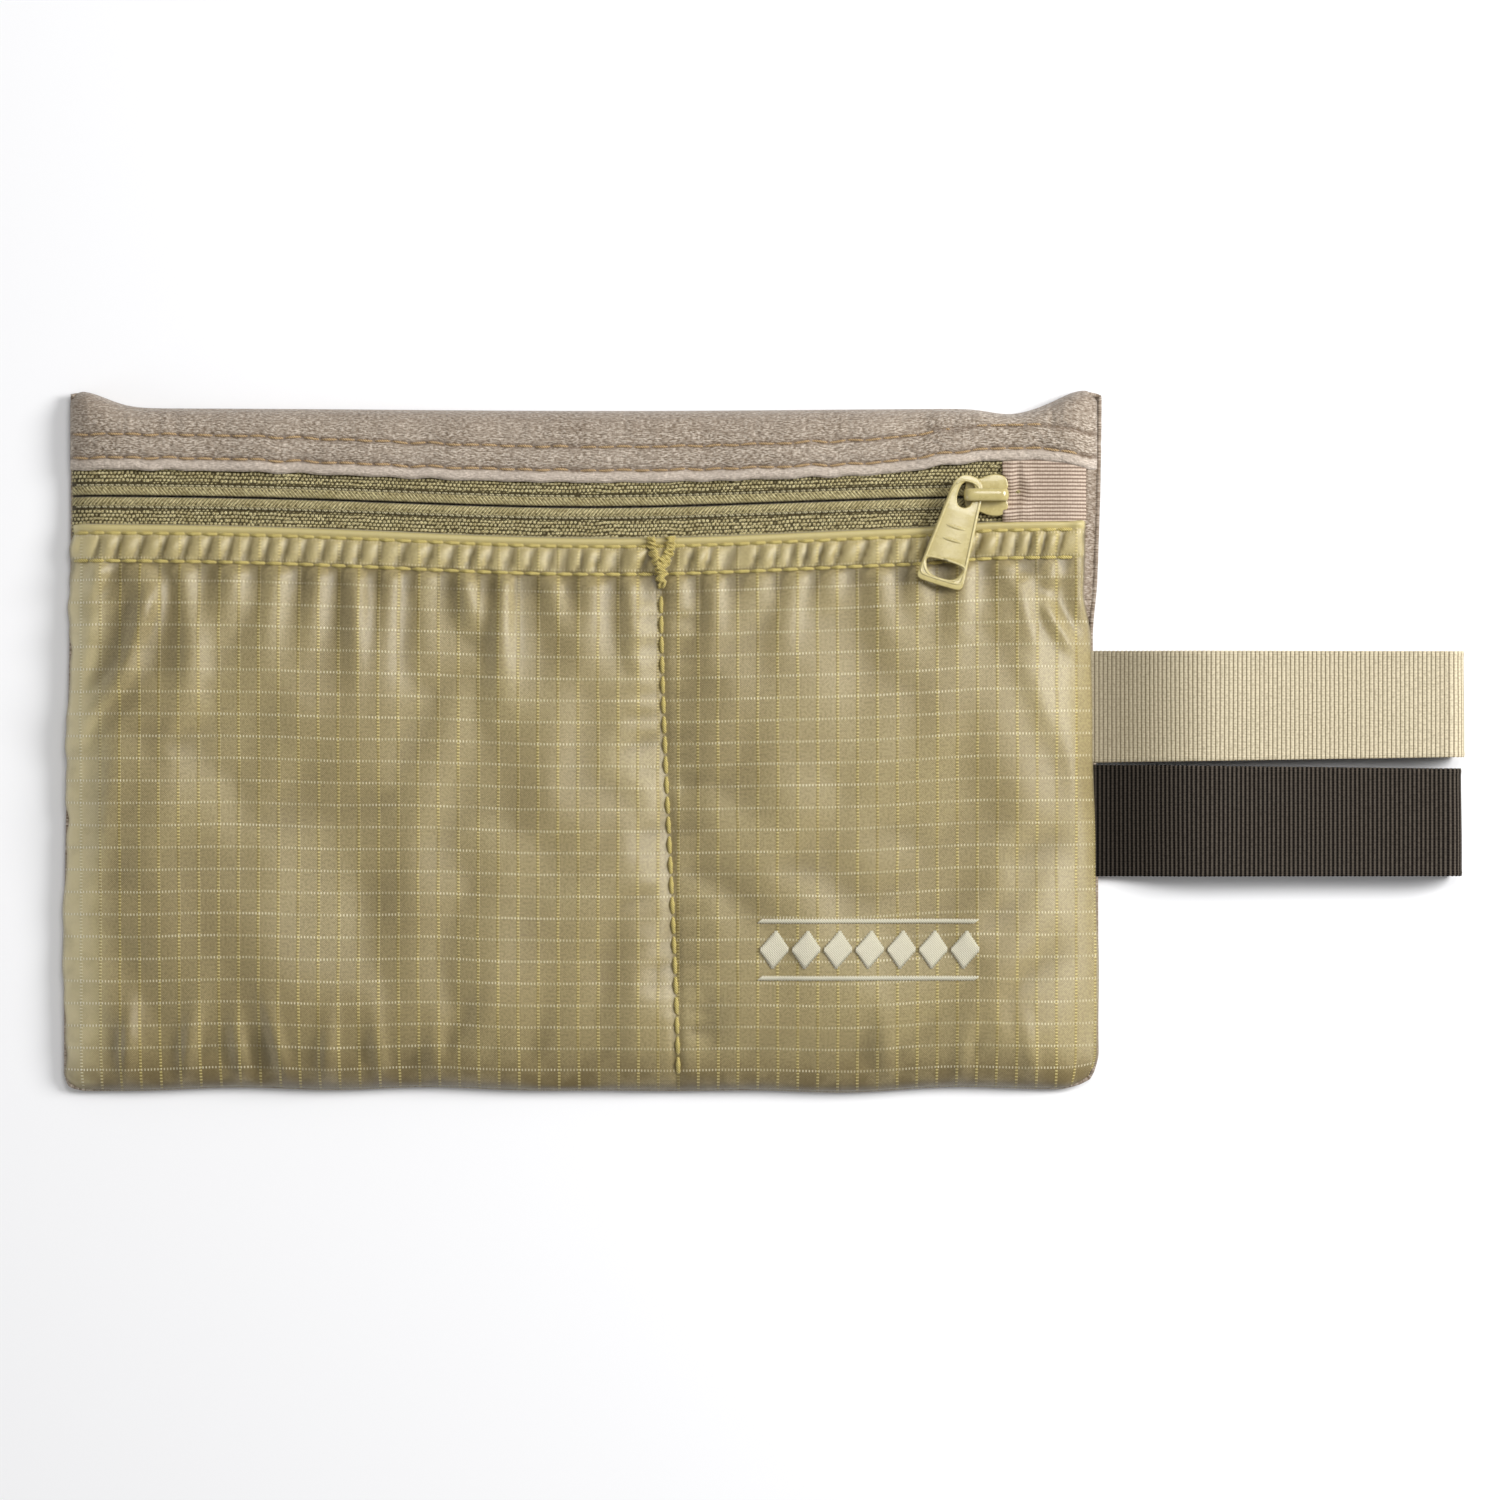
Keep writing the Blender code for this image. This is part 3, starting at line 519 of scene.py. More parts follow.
def half_shell(name, points, flat, finish, thickness, first, last, shade):
    """Columns first to last of a thick sheet, open where it was cut, shaded as the whole sheet is."""
    normals = grid_normals(points)
    part = slice(first, last + 1)
    outer, outward = points[part], normals[part]
    layers = np.stack([outer, outer - outward * thickness], axis=2)
    columns, rows = outer.shape[:2]
    index = np.arange(columns * rows * 2).reshape(columns, rows, 2)
    top, under = index[:, :, 0], index[:, :, 1]

    def quads(a, b, c, d):
        return np.stack([a, b, c, d], axis=-1).reshape(-1, 4)

    faces = [
        quads(top[:-1, :-1], top[1:, :-1], top[1:, 1:], top[:-1, 1:]),
        quads(under[:-1, :-1], under[:-1, 1:], under[1:, 1:], under[1:, :-1]),
        quads(top[:-1, 0], under[:-1, 0], under[1:, 0], top[1:, 0]),
        quads(top[1:, -1], under[1:, -1], under[:-1, -1], top[:-1, -1]),
    ]
    if first == 0:
        faces.append(quads(top[0, 1:], under[0, 1:], under[0, :-1], top[0, :-1]))
    else:
        faces.append(quads(top[-1, :-1], under[-1, :-1], under[-1, 1:], top[-1, 1:]))
    mesh = bpy.data.meshes.new(name)
    mesh.from_pydata(layers.reshape(-1, 3).tolist(), [], np.concatenate(faces).tolist())
    mark_cloth(mesh, (flat[0][part], flat[1][part]), shade[part], 2)
    mesh.shade_smooth()
    facing = np.stack([outward, -outward], axis=2).reshape(-1, 3)
    mesh.normals_split_custom_set_from_vertices(facing.tolist())
    return new_object(name, mesh, finish)


def tube_rings(points, radii, sides, up=None):
    """Rings of points round a line; radii is (n, 2): half width and half height at each point."""
    tangent = np.gradient(points, axis=0)
    tangent /= np.linalg.norm(tangent, axis=1)[:, None]
    up = np.array([0.0, 0.0, 1.0]) if up is None else np.asarray(up, float)
    side = np.cross(tangent, up)
    side /= np.maximum(np.linalg.norm(side, axis=1)[:, None], 1e-9)
    rise = np.cross(side, tangent)
    angle = np.arange(sides) * 2 * math.pi / sides
    ring = side[:, None, :] * (np.cos(angle)[None, :, None] * radii[:, 0][:, None, None])
    ring = ring + rise[:, None, :] * (np.sin(angle)[None, :, None] * radii[:, 1][:, None, None])
    return points[:, None, :] + ring


def face_out(mesh, weld=0):
    """Turns a closed mesh's faces outwards; points closer together than weld are first made one."""
    shape = bmesh.new()
    shape.from_mesh(mesh)
    if weld:
        bmesh.ops.remove_doubles(shape, verts=shape.verts, dist=weld)
    bmesh.ops.recalc_face_normals(shape, faces=shape.faces)
    shape.to_mesh(mesh)
    shape.free()


class Tubes:
    """Gathers many closed tubes into one mesh."""

    def __init__(self):
        self.points, self.faces, self.count = [], [], 0

    def add(self, points, radii, sides, up=None):
        points = np.asarray(points, float)
        radii = np.asarray(radii, float)
        if radii.ndim == 1:
            radii = np.stack([radii, radii], axis=1)
        rings = tube_rings(points, radii, sides, up)
        length = len(points)
        start = self.count
        self.points.append(rings.reshape(-1, 3))
        for i in range(length - 1):
            for j in range(sides):
                k = (j + 1) % sides
                a, b = start + i * sides, start + (i + 1) * sides
                self.faces.append((a + j, a + k, b + k, b + j))
        self.faces.append(tuple(start + j for j in reversed(range(sides))))
        self.faces.append(tuple(start + (length - 1) * sides + j for j in range(sides)))
        self.count += length * sides

    def make(self, name, finish):
        mesh = bpy.data.meshes.new(name)
        mesh.from_pydata(np.concatenate(self.points).tolist(), [], self.faces)
        mesh.shade_smooth()
        face_out(mesh)
        return new_object(name, mesh, finish)


def stitches(name, path, length, pitch, radius, finish, share):
    """A row of lockstitches, each share of its pitch long. path(t) gives points at distances t along it."""
    row = Tubes()
    steps = 13
    for index in range(int(length / pitch)):
        begin = index * pitch
        t = np.linspace(begin, begin + share * pitch, steps)
        points = path(t)
        q = np.linspace(0, 1, steps)
        arch = np.sin(math.pi * q) ** 0.6
        points[:, 2] += radius * (1.6 * arch - 0.7)
        twist = 1 + 0.13 * np.cos(2 * math.pi * (t - begin) / (3.2 * radius))
        row.add(points, radius * (0.55 + 0.45 * arch) * twist, sides=9)
    return row.make(name, finish)


# Materials


class Field:
    """A value that varies over a surface. Arithmetic on it adds shader nodes."""

    def __init__(self, tree, socket):
        self.tree, self.socket = tree, socket

    def math(self, operation, *others):
        node = self.tree.nodes.new("ShaderNodeMath")
        node.operation = operation
        for slot, value in zip(node.inputs, (self, *others)):
            feed(self.tree, value, slot)
        return Field(self.tree, node.outputs[0])

    def __add__(self, other):
        return self.math("ADD", other)

    def __sub__(self, other):
        return self.math("SUBTRACT", other)

    def __mul__(self, other):
        return self.math("MULTIPLY", other)

    def cosine(self, pitch):
        """-1 to 1 once every pitch, with its top at 0."""
        return (self * (2 * math.pi / pitch)).math("COSINE")

    def line(self, pitch, width):
        """1 on a line at every pitch, width wide, and 0 between the lines."""
        away = self.math("PINGPONG", pitch / 2)
        return ramp(away, width * 0.65, width * 0.35)


def feed(tree, value, slot):
    if isinstance(value, Field):
        tree.links.new(value.socket, slot)
    else:
        slot.default_value = value


def ramp(value, low, high, to_low=0.0, to_high=1.0):
    """Maps low to to_low and high to to_high with an S-curve, and holds the ends."""
    node = value.tree.nodes.new("ShaderNodeMapRange")
    node.interpolation_type = "SMOOTHSTEP"
    feed(value.tree, value, node.inputs["Value"])
    for name, number in (("From Min", low), ("From Max", high), ("To Min", to_low), ("To Max", to_high)):
        node.inputs[name].default_value = number
    return Field(value.tree, node.outputs["Result"])


def cut_coordinates(tree):
    """The flat cloth coordinates, in metres, as (vector, across, up)."""
    node = tree.nodes.new("ShaderNodeAttribute")
    node.attribute_name = "flat"
    return split(tree, node.outputs["Vector"])


def shade_field(tree):
    node = tree.nodes.new("ShaderNodeAttribute")
    node.attribute_name = "shade"
    return Field(tree, node.outputs["Fac"])


def object_coordinates(tree):
    node = tree.nodes.new("ShaderNodeTexCoord")
    return split(tree, node.outputs["Object"])


def split(tree, vector):
    parts = tree.nodes.new("ShaderNodeSeparateXYZ")
    tree.links.new(vector, parts.inputs[0])
    return vector, Field(tree, parts.outputs[0]), Field(tree, parts.outputs[1])


def noise(tree, vector, size, detail=2.0, stretch=(1, 1, 1)):
    """Noise from 0 to 1 whose blobs are about size metres across."""
    scale = tree.nodes.new("ShaderNodeVectorMath")
    scale.operation = "MULTIPLY"
    tree.links.new(vector, scale.inputs[0])
    scale.inputs[1].default_value = [factor / size for factor in stretch]
    node = tree.nodes.new("ShaderNodeTexNoise")
    node.inputs["Scale"].default_value = 1.0
    node.inputs["Detail"].default_value = detail
    tree.links.new(scale.outputs[0], node.inputs["Vector"])
    return Field(tree, node.outputs["Fac"])


def coats(colour, *layers):
    """A colour, or a mixed colour, with each layer's colour laid over it where the layer's share is 1."""
    for share, coat in layers:
        node = share.tree.nodes.new("ShaderNodeMix")
        node.data_type = "RGBA"
        factor, under, over = node.inputs[0], node.inputs[6], node.inputs[7]
        feed(share.tree, share, factor)
        feed(share.tree, colour if isinstance(colour, Field) else (*colour, 1.0), under)
        over.default_value = (*coat, 1.0)
        colour = Field(share.tree, node.outputs[2])
    return colour


def linear(red, green, blue):
    """A colour given as it looks in display values from 0 to 255, under this scene's light."""
    return tuple(((value / 255 + 0.055) / 1.055) ** 2.4 / LIGHT_LEVEL for value in (red, green, blue))


def new_finish(name, roughness, sheen=0.0, specular=0.5):
    made = bpy.data.materials.new(name)
    made.use_nodes = True
    shader = made.node_tree.nodes["Principled BSDF"]
    shader.inputs["Roughness"].default_value = roughness
    shader.inputs["Sheen Weight"].default_value = sheen
    shader.inputs["Sheen Roughness"].default_value = 0.5
    shader.inputs["Specular IOR Level"].default_value = specular
    return made, made.node_tree, shader


def dress(tree, shader, colour, height, roughness=None):
    """Links a finish's colour, its relief in metres and its roughness, where that varies, to the shader."""
    tree.links.new(colour.socket, shader.inputs["Base Color"])
    bump = tree.nodes.new("ShaderNodeBump")
    bump.inputs["Distance"].default_value = 1.0
    tree.links.new(height.socket, bump.inputs["Height"])
    tree.links.new(bump.outputs[0], shader.inputs["Normal"])
    if roughness is not None:
        tree.links.new(roughness.socket, shader.inputs["Roughness"])


def ripstop_finish():
    """Satin nylon in a fine plain weave with a grid of thicker threads, 3.6 by 4.0 mm; its colour also holds
    painted shade and painted highlights.
    """
    made, tree, shader = new_finish("ripstop", 0.42, sheen=0.10, specular=0.62)
    vector, across, up = cut_coordinates(tree)
    hem_top = HEM_Y - BOTTOM
    hem_row = hem_top - HEM_ROWS[1]
    speck = noise(tree, vector, 0.45 * MM, 3.0)
    patch = noise(tree, vector, 22 * MM, 2.0)
    worn = noise(tree, vector, 5 * MM, 2.0)

    wobble = (noise(tree, vector, 9 * MM) - 0.5) * (0.35 * MM)
    upright = (across + wobble).line(3.58 * MM, 0.46 * MM)
    level = (up + wobble).line(4.01 * MM, 0.40 * MM)
    fine, dot = 0.40 * MM, 0.58 * MM
    weave = across.cosine(fine) * up.cosine(fine)
    dots_up = ramp(up.cosine(dot), -0.1, 0.8)
    dots_across = ramp(across.cosine(dot), -0.1, 0.8)
    # The hem's top fold, where the grid is faint and a painted highlight lies.
    fold = ramp(up, hem_top - 1.7 * MM, hem_top - 1.2 * MM)
    plain = fold * -0.75 + 1.0
    grid = (upright * dots_up + level * dots_across) * plain

    # Painted shade, darker towards the lower left of the front cloth.
    painted_shade_low_left = ramp(up, 52 * MM, 8 * MM) * ramp(across, 130 * MM, 50 * MM)
    # Painted highlight along the rolled left edge, with the grid threads paler there; the worn noise only
    # makes it uneven.
    roll = ramp(across, 11.0 * MM, 1.5 * MM)
    # Painted shade along the base, made uneven by the worn noise.
    painted_base_shade = ramp(up, 9 * MM, 1.5 * MM) * ramp(worn, 0.35, 0.6, 0.25, 0.70)
    # Painted light: the hem between its rows is lighter.
    between = ramp(up, hem_row - 0.5 * MM, hem_row + 0.5 * MM)
    colour = coats(
        linear(139, 122, 73),
        (ramp(patch, 0.3, 0.7), linear(158, 142, 92)),
        (ramp(weave, -1.0, 1.0, 0.0, 0.62), linear(197, 182, 140)),
        (painted_shade_low_left * 0.26, linear(112, 94, 48)),
        (ramp(speck, 0.35, 0.7, 0.0, 0.45), linear(104, 88, 50)),
        (roll * ramp(worn, 0.25, 0.6, 0.50, 0.85), linear(224, 210, 162)),
        (painted_base_shade, linear(100, 81, 36)),
        (upright * plain * (roll * -0.6 + 0.72), linear(134, 113, 42)),
        (upright * dots_up * plain * ramp(worn, 0.3, 0.6, 0.45, 0.95), linear(218, 202, 132)),
        (level * plain * 0.22, linear(150, 132, 74)),
        (level * dots_across * plain * ramp(worn, 0.4, 0.7, 0.50, 0.95), linear(226, 216, 182)),
        (grid * roll * 0.55, linear(255, 250, 228)),
        (between * 0.34, linear(216, 199, 138)),
        # painted shade in the front cloth's hollows
        (shade_field(tree) * 0.30, linear(84, 70, 32)),
        (fold * 0.65, linear(206, 191, 130)),
    )
    threads = (upright * (dots_up + 0.8) + level * dots_across) * plain
    rough = ramp(speck, 0.3, 0.8, 0.34, 0.48)
    dress(tree, shader, colour, weave * (0.014 * MM) + threads * (0.045 * MM), rough)
    return made


def fleece_finish(name, *more):
    """Matte brushed cloth: a short nap in pale and dark flecks. more gives further layers of colour, each
    as the heights up the cloth where it starts and where it is full, its strength and its colour."""
    made, tree, shader = new_finish(name, 0.95, sheen=0.25, specular=0.2)
    vector, _, up = cut_coordinates(tree)
    flecks = noise(tree, vector, 0.40 * MM, 5.0, (0.55, 1.5, 1))
    fine = noise(tree, vector, 0.36 * MM, 3.0)
    tufts = noise(tree, vector, 1.3 * MM, 2.0, (0.7, 1.3, 1))
    patch = noise(tree, vector, 12 * MM, 2.0)
    colour = coats(
        linear(104, 88, 70),
        (ramp(flecks, 0.36, 0.62), linear(224, 211, 195)),
        (ramp(fine, 0.38, 0.64, 0.0, 0.55), linear(142, 124, 104)),
        (ramp(tufts, 0.38, 0.66, 0.0, 0.50), linear(128, 112, 94)),
        (ramp(patch, 0.3, 0.7, 0.0, 0.22), linear(198, 184, 168)),
        # painted shade from the mesh: the band's stitch grooves and the back cloth's right strip
        (shade_field(tree) * 0.60, linear(100, 78, 58)),
        *((ramp(up, first, full, 0.0, strength), tint) for first, full, strength, tint in more),
    )
    dress(tree, shader, colour, flecks * (0.20 * MM) + fine * (0.10 * MM) + tufts * (0.25 * MM))
    return made


def tape_finish():
    """The zip's coarse woven tape, olive with pale raised dots."""
    made, tree, shader = new_finish("zip_tape", 0.85, sheen=0.10, specular=0.25)
    vector, across, up = cut_coordinates(tree)
    strands = across.cosine(0.34 * MM) * up.cosine(0.43 * MM)
    speck = noise(tree, vector, 0.50 * MM, 3.0)
    blotch = noise(tree, vector, 2.6 * MM, 2.0)
    away = up.math("ABSOLUTE")
    cord = ramp(away, 1.9 * MM, 1.5 * MM)
    twill = ramp((across + away * 0.9).cosine(0.66 * MM), -0.7, 0.6)
    colour = coats(
        linear(180, 163, 104),
        (ramp(strands, -0.6, 0.8), linear(250, 241, 196)),
        (ramp(blotch, 0.35, 0.7, 0.0, 0.45), linear(158, 143, 92)),
        (ramp(speck, 0.42, 0.62, 0.0, 0.55), linear(112, 97, 54)),
        ((twill * -1.0 + 1.0) * cord * 0.62, linear(84, 72, 36)),
        # painted shade in the weave's hollows, needle holes and slit
        (ramp(shade_field(tree), 0.15, 0.85) * 0.93, linear(52, 42, 16)),
    )
    dress(tree, shader, colour, strands * (0.03 * MM) + twill * cord * (0.06 * MM))
    return made


def webbing_finish(name, dark, light, sheen, rib=RIB, along=0, specular=0.4, crest=(-0.75, 0.55)):
    """Ribbed grosgrain, whose relief is in the mesh; here are its threads, the painted shade between ribs and
    the painted shade stored on the mesh.
    """
    made, tree, shader = new_finish(name, 0.6, sheen=sheen, specular=specular)
    vector, across, up = cut_coordinates(tree)
    run, side = (across, up) if along == 0 else (up, across)
    threads = side.cosine(0.30 * MM)
    speck = noise(tree, vector, 0.4 * MM, 3.0)
    colour = coats(
        dark,
        (ramp(run.cosine(rib), *crest), light),
        (ramp(speck, 0.38, 0.7, 0.0, 0.40), dark),
        (ramp(threads, 0.2, 1.0, 0.0, 0.25), [min(1, 1.4 * v) for v in light]),
        # painted shade stored on the mesh
        (shade_field(tree) * 0.65, [0.6 * v for v in dark]),
    )
    dress(tree, shader, colour, threads * (0.012 * MM))
    return made


def thread_finish(name, dark, light, roughness=0.55):
    """Twisted sewing thread, with painted shade between its plies."""
    made, tree, shader = new_finish(name, roughness, sheen=0.2)
    vector, across, up = object_coordinates(tree)
    plies = (across + up).cosine(0.42 * MM)
    speck = noise(tree, vector, 0.25 * MM, 2.0)
    colour = coats(dark, (ramp(plies, -1.0, 0.4), light), (ramp(speck, 0.4, 0.75, 0.0, 0.35), dark))
    dress(tree, shader, colour, plies * (0.03 * MM))
    return made


def paint_finish():
    """Glossy khaki paint on die-cast zinc, thinner and paler on the worn edges."""
    made, tree, shader = new_finish("painted_slider", 0.26, specular=0.55)
    shader.inputs["Coat Weight"].default_value = 0.5
    shader.inputs["Coat Roughness"].default_value = 0.12
    vector, _, _ = object_coordinates(tree)
    geometry = tree.nodes.new("ShaderNodeNewGeometry")
    edge = ramp(Field(tree, geometry.outputs["Pointiness"]), 0.52, 0.62)
    cloud = noise(tree, vector, 1.6 * MM, 3.0)
    peel = noise(tree, vector, 0.5 * MM, 2.0)
    colour = coats(
        linear(186, 170, 110),
        (ramp(cloud, 0.3, 0.7), linear(196, 181, 120)),
        (edge * 0.6, linear(214, 203, 158)),
    )
    dress(tree, shader, colour, peel * (0.012 * MM), ramp(cloud, 0.3, 0.7, 0.22, 0.34))
    return made


def nylon_finish():
    """The coil's monofilament."""
    made, tree, shader = new_finish("zip_coil", 0.4)
    vector, _, _ = object_coordinates(tree)
    cloud = noise(tree, vector, 1.2 * MM, 2.0)
    colour = coats(linear(98, 86, 48), (ramp(cloud, 0.3, 0.7), linear(128, 115, 72)))
    dress(tree, shader, colour, cloud * (0.03 * MM))
    return made


FINISHES = {
    "ripstop": ripstop_finish(),
    "brushed_cloth": fleece_finish("brushed_cloth"),
    "brushed_band": fleece_finish(
        "brushed_band", (2.2 * MM, 1.5 * MM, 0.42, linear(226, 212, 198)),
        # painted shade, darker up towards the top fold
        (6 * MM, 14 * MM, 0.35, linear(118, 100, 84)),
    ),
    "zip_tape": tape_finish(),
    "zip_coil": nylon_finish(),
    "painted_slider": paint_finish(),
    "webbing_tan": webbing_finish("webbing_tan", linear(96, 81, 50), linear(216, 203, 172), 0.08),
    "webbing_black": webbing_finish(
        "webbing_black", linear(1, 1, 1), linear(92, 84, 75), 0.0, specular=0.01, crest=(0.15, 1.0)
    ),
    "webbing_end_tab": webbing_finish(
        "webbing_end_tab", linear(112, 88, 70), linear(210, 190, 170), 0.05, TAB_RIB, along=1
    ),
    "thread_gold": thread_finish("thread_gold", linear(132, 111, 46), linear(224, 206, 122)),
    "thread_ochre": thread_finish("thread_ochre", linear(122, 90, 54), linear(206, 175, 126)),
    "thread_cream": thread_finish("thread_cream", linear(196, 188, 158), linear(240, 235, 214), 0.42),
    "thread_tape": thread_finish("thread_tape", linear(98, 86, 50), linear(206, 195, 152)),
}


def place_piece(piece, body, replaces):
    """Hides the CAD node that a finished piece stands for, and hangs the piece on the body that it rides on.
    """
    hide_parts(replaces)
    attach(piece, body)
    return piece


settled_folds = simulate_panel()


# Pieces


def front_panel():
    hem = 12.5 * MM / (HEM_Y - BOTTOM)
    body = (1 - hem) * crowded(FRONT_BODY_ROWS, 0.35)
    up = np.concatenate([body, np.linspace(1 - hem, 1, FRONT_HEM_ROWS)[1:]])
    u, v = np.meshgrid(crowded(FRONT_COLUMNS, 0.25), up, indexing="ij")
    x, y = panel_place(u, v)
    z = panel_height(x, y)
    cut = (x - LEFT, v * (HEM_Y - BOTTOM))
    below = hem_line(x) - y
    x, y = pouch_corners(x, y)
    points = xyz(x, y, z)
    # Painted shade: darker in the cloth's hollows, more so in and below the hem and near the base.
    hemmed = smooth(below, HEM_ROWS[0], HEM_ROWS[0] + 1 * MM)
    hemmed = hemmed * (1 - smooth(below, HEM_ROWS[1], HEM_ROWS[1] + 6 * MM))
    low = 1 - smooth(y - BOTTOM, 5 * MM, 15 * MM)
    wide_hollows = hollows(z, 0.20 * MM, 30)
    shade = np.clip(hollows(z, 0.26 * MM) + (1.8 * hemmed + 1.5 * low) * wide_hollows, 0, 1.9)
    piece = cloth("front_panel_cloth", points, cut, FINISHES["ripstop"], CLOTH, shade=shade)
    return place_piece(piece, "pouch", "front_panel")


def back_panel():
    u, v = np.meshgrid(crowded(BACK_COLUMNS, 0.8), crowded(BACK_ROWS, 0.8), indexing="ij")
    y = BOTTOM + (TOP - BOTTOM) * v
    start = left_edge(y) + 0.7 * MM
    end = right_edge(y) - 0.6 * MM * (1 - smooth(y, 17 * MM, 27 * MM))
    x = start + (end - start) * u
    base, top = panel_base(x) + 0.7 * MM, top_line(x) - 0.8 * MM
    y = base + (top - base) * v
    edge = np.minimum(np.minimum(x - start, end - x), y - base)
    rolled = 1.0 * MM * (1 - shoulder(edge, 1.8 * MM))
    wall = smooth(y, 16 * MM, 26 * MM) * (1 - 0.55 * smooth(y, 47 * MM, 58 * MM))
    tall = 3.0 * MM * bell(end - x, 2.1 * MM, 1.7 * MM) * wall
    nap = 0.06 * MM * (1 + ripple(x, y, 1.6 * MM, 31))
    top_turn = 0.8 * MM * (1 - shoulder(top - y, 1.6 * MM))
    z = CLOTH + 0.1 * MM + rolled + tall + nap + top_turn
    cut = (x - LEFT, y - BOTTOM)
    x, y = pouch_corners(x, y)
    # Painted shade near the right edge, where the back cloth stands up as a strip.
    shade = 0.5 * smooth(x, RIGHT - 6 * MM, RIGHT - 2 * MM)
    points = xyz(x, y, z)
    piece = cloth("back_panel_cloth", points, cut, FINISHES["brushed_cloth"], CLOTH, shade=shade)
    return place_piece(piece, "pouch", "back_panel")


def split_lip(name, points, flat, shade, finish, thickness, replaces):
    """Two halves of a lip piece, which meet at the middle of the mouth."""
    middle = np.argmin(np.abs(points[:, 0, 0] - MIDDLE_X))
    made = []
    for side, first, last in (("left", 0, middle), ("right", middle, len(points) - 1)):
        piece = half_shell(f"{name}_{side}", points, flat, finish, thickness, first, last, shade)
        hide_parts(replaces)
        made.append(piece)
    return made


def bend_lip(piece, side):
    """Bakes a lip piece's placement into its mesh, alike for the left and the right half."""
    if side == "left":
        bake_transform(piece)
    else:
        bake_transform(piece)


def band_height(x, y):
    """The band's outer face where it lies flat above the zip."""
    start, end = left_edge(BAND_Y), right_edge(BAND_Y)
    sides = shoulder(x - start, ZIP_SHOULDER) * shoulder(end - x, ZIP_SHOULDER)
    base = RIM + (ZIP_FACE + 0.35 * MM - RIM) * sides
    above = y - band_line(x)
    relief = 0.40 * MM * bell(above, sum(BAND_ROWS) / 2, 1.6 * MM)
    relief = relief + 0.22 * MM * bell(above, 1.0 * MM, 0.8 * MM)
    relief = relief + 0.06 * MM * wave(x, 0.72 * MM) * bell(above, 0.7 * MM, 0.9 * MM)
    for row in BAND_ROWS:
        stitched = bell(above, row, 0.45 * MM) * (0.55 + 0.45 * wave(x, BAND_PITCH))
        relief = relief - 0.42 * MM * stitched
    relief = relief + 0.22 * MM * ripple(x, y, 16 * MM, 41) + 0.045 * MM * ripple(x, y, 1.5 * MM, 42)
    return base + relief * sides


def band_grid():
    """The band's cross-section runs from its lower edge up to the top fold and over to the back."""
    u, v = np.meshgrid(crowded(BAND_COLUMNS, 0.5), np.linspace(0, 1, BAND_STEPS), indexing="ij")
    x = left_edge(BAND_Y) + (right_edge(BAND_Y) - left_edge(BAND_Y)) * u
    turn = ZIP_FACE - RIM
    low, high = band_line(x), top_line(x) - turn
    flat_share = 0.66
    level = np.clip(v / flat_share, 0, 1)
    angle = np.clip((v - flat_share) / (1 - flat_share), 0, 1) * math.pi * 0.56
    y = low + (high - low) * level + turn * np.sin(angle)
    top = band_height(x, low + (high - low) * level)
    sides = np.clip((top - RIM) / turn, 0, 1.2)
    z = np.where(angle > 0, RIM + turn * np.cos(angle) * sides, top)
    lip = 0.6 * MM * (1 - shoulder(v * (high - low) / flat_share, 0.6 * MM))
    z = z - lip
    up_cloth = (high - low) * level + turn * angle
    cut = (x - LEFT, up_cloth)
    # Painted shade along the grooves of the stitch rows.
    seams = sum(bell(up_cloth, row, 0.45 * MM) for row in BAND_ROWS)
    x, y = corner_cut(x, y, left_edge(BAND_Y), EAR_TOP, 2.6 * MM)
    x, y = corner_cut(x, y, right_edge(BAND_Y), EAR_TOP, 2.4 * MM)
    return xyz(x, y, z), cut, seams


def tape_weave(x, away):
    """The tape's relief and its painted shade, in the hollows between knots, the needle holes and the slit: a
    twill cord over the coil, then coarse knots.
    """
    cord = 1 - smooth(away, COIL_SEAM - 0.35 * MM, COIL_SEAM)
    row = away / (0.64 * MM) + 0.10 * ripple(x, away, 6 * MM, 62, 10)
    shift = 0.5 * (np.floor(row) % 2)
    knots = np.abs(np.sin(math.pi * row)) * np.abs(np.sin(math.pi * (x / (0.74 * MM) + shift)))
    rough = np.clip(0.92 + 0.26 * ripple(x, away, 1.1 * MM, 61, 30), 0.3, 1.3)
    coarse = knots * rough * smooth(away, COIL_SEAM + 0.2 * MM, COIL_SEAM + 0.6 * MM)
    holes = bell(away, COIL_SEAM, 0.26 * MM) * (1 - wave(x, COIL_STITCH)) ** 2
    holes = holes + 0.9 * bell(away, COIL_SEAM - 0.6 * MM, 0.20 * MM) * wave(x, COIL_STITCH) ** 2
    slit = 1 - smooth(away, 0.12 * MM, 0.34 * MM)
    relief = 0.30 * MM * coarse - 0.20 * MM * holes - 0.5 * MM * slit
    # Painted shade: dark in the hollows between knots, in the needle holes and in the slit.
    woven = (1 - smooth(coarse, 0.08, 0.55)) * (1 - cord)
    return relief, np.clip(woven + 0.9 * holes + slit, 0, 1)


def tape_height(x, away):
    """The tape's outer face: away is the distance from the slit; it humps over its coil."""
    start, end = left_edge(ZIP_Y) + 0.3 * MM, right_edge(ZIP_Y) - 1.4 * MM
    sides = shoulder(x - start, ZIP_SHOULDER) * shoulder(end - x, ZIP_SHOULDER)
    hump = 0.34 * MM * bell(away, 1.1 * MM, 0.8 * MM)
    return RIM + (TAPE_TOP - RIM + hump) * sides + tape_weave(x, away)[0]


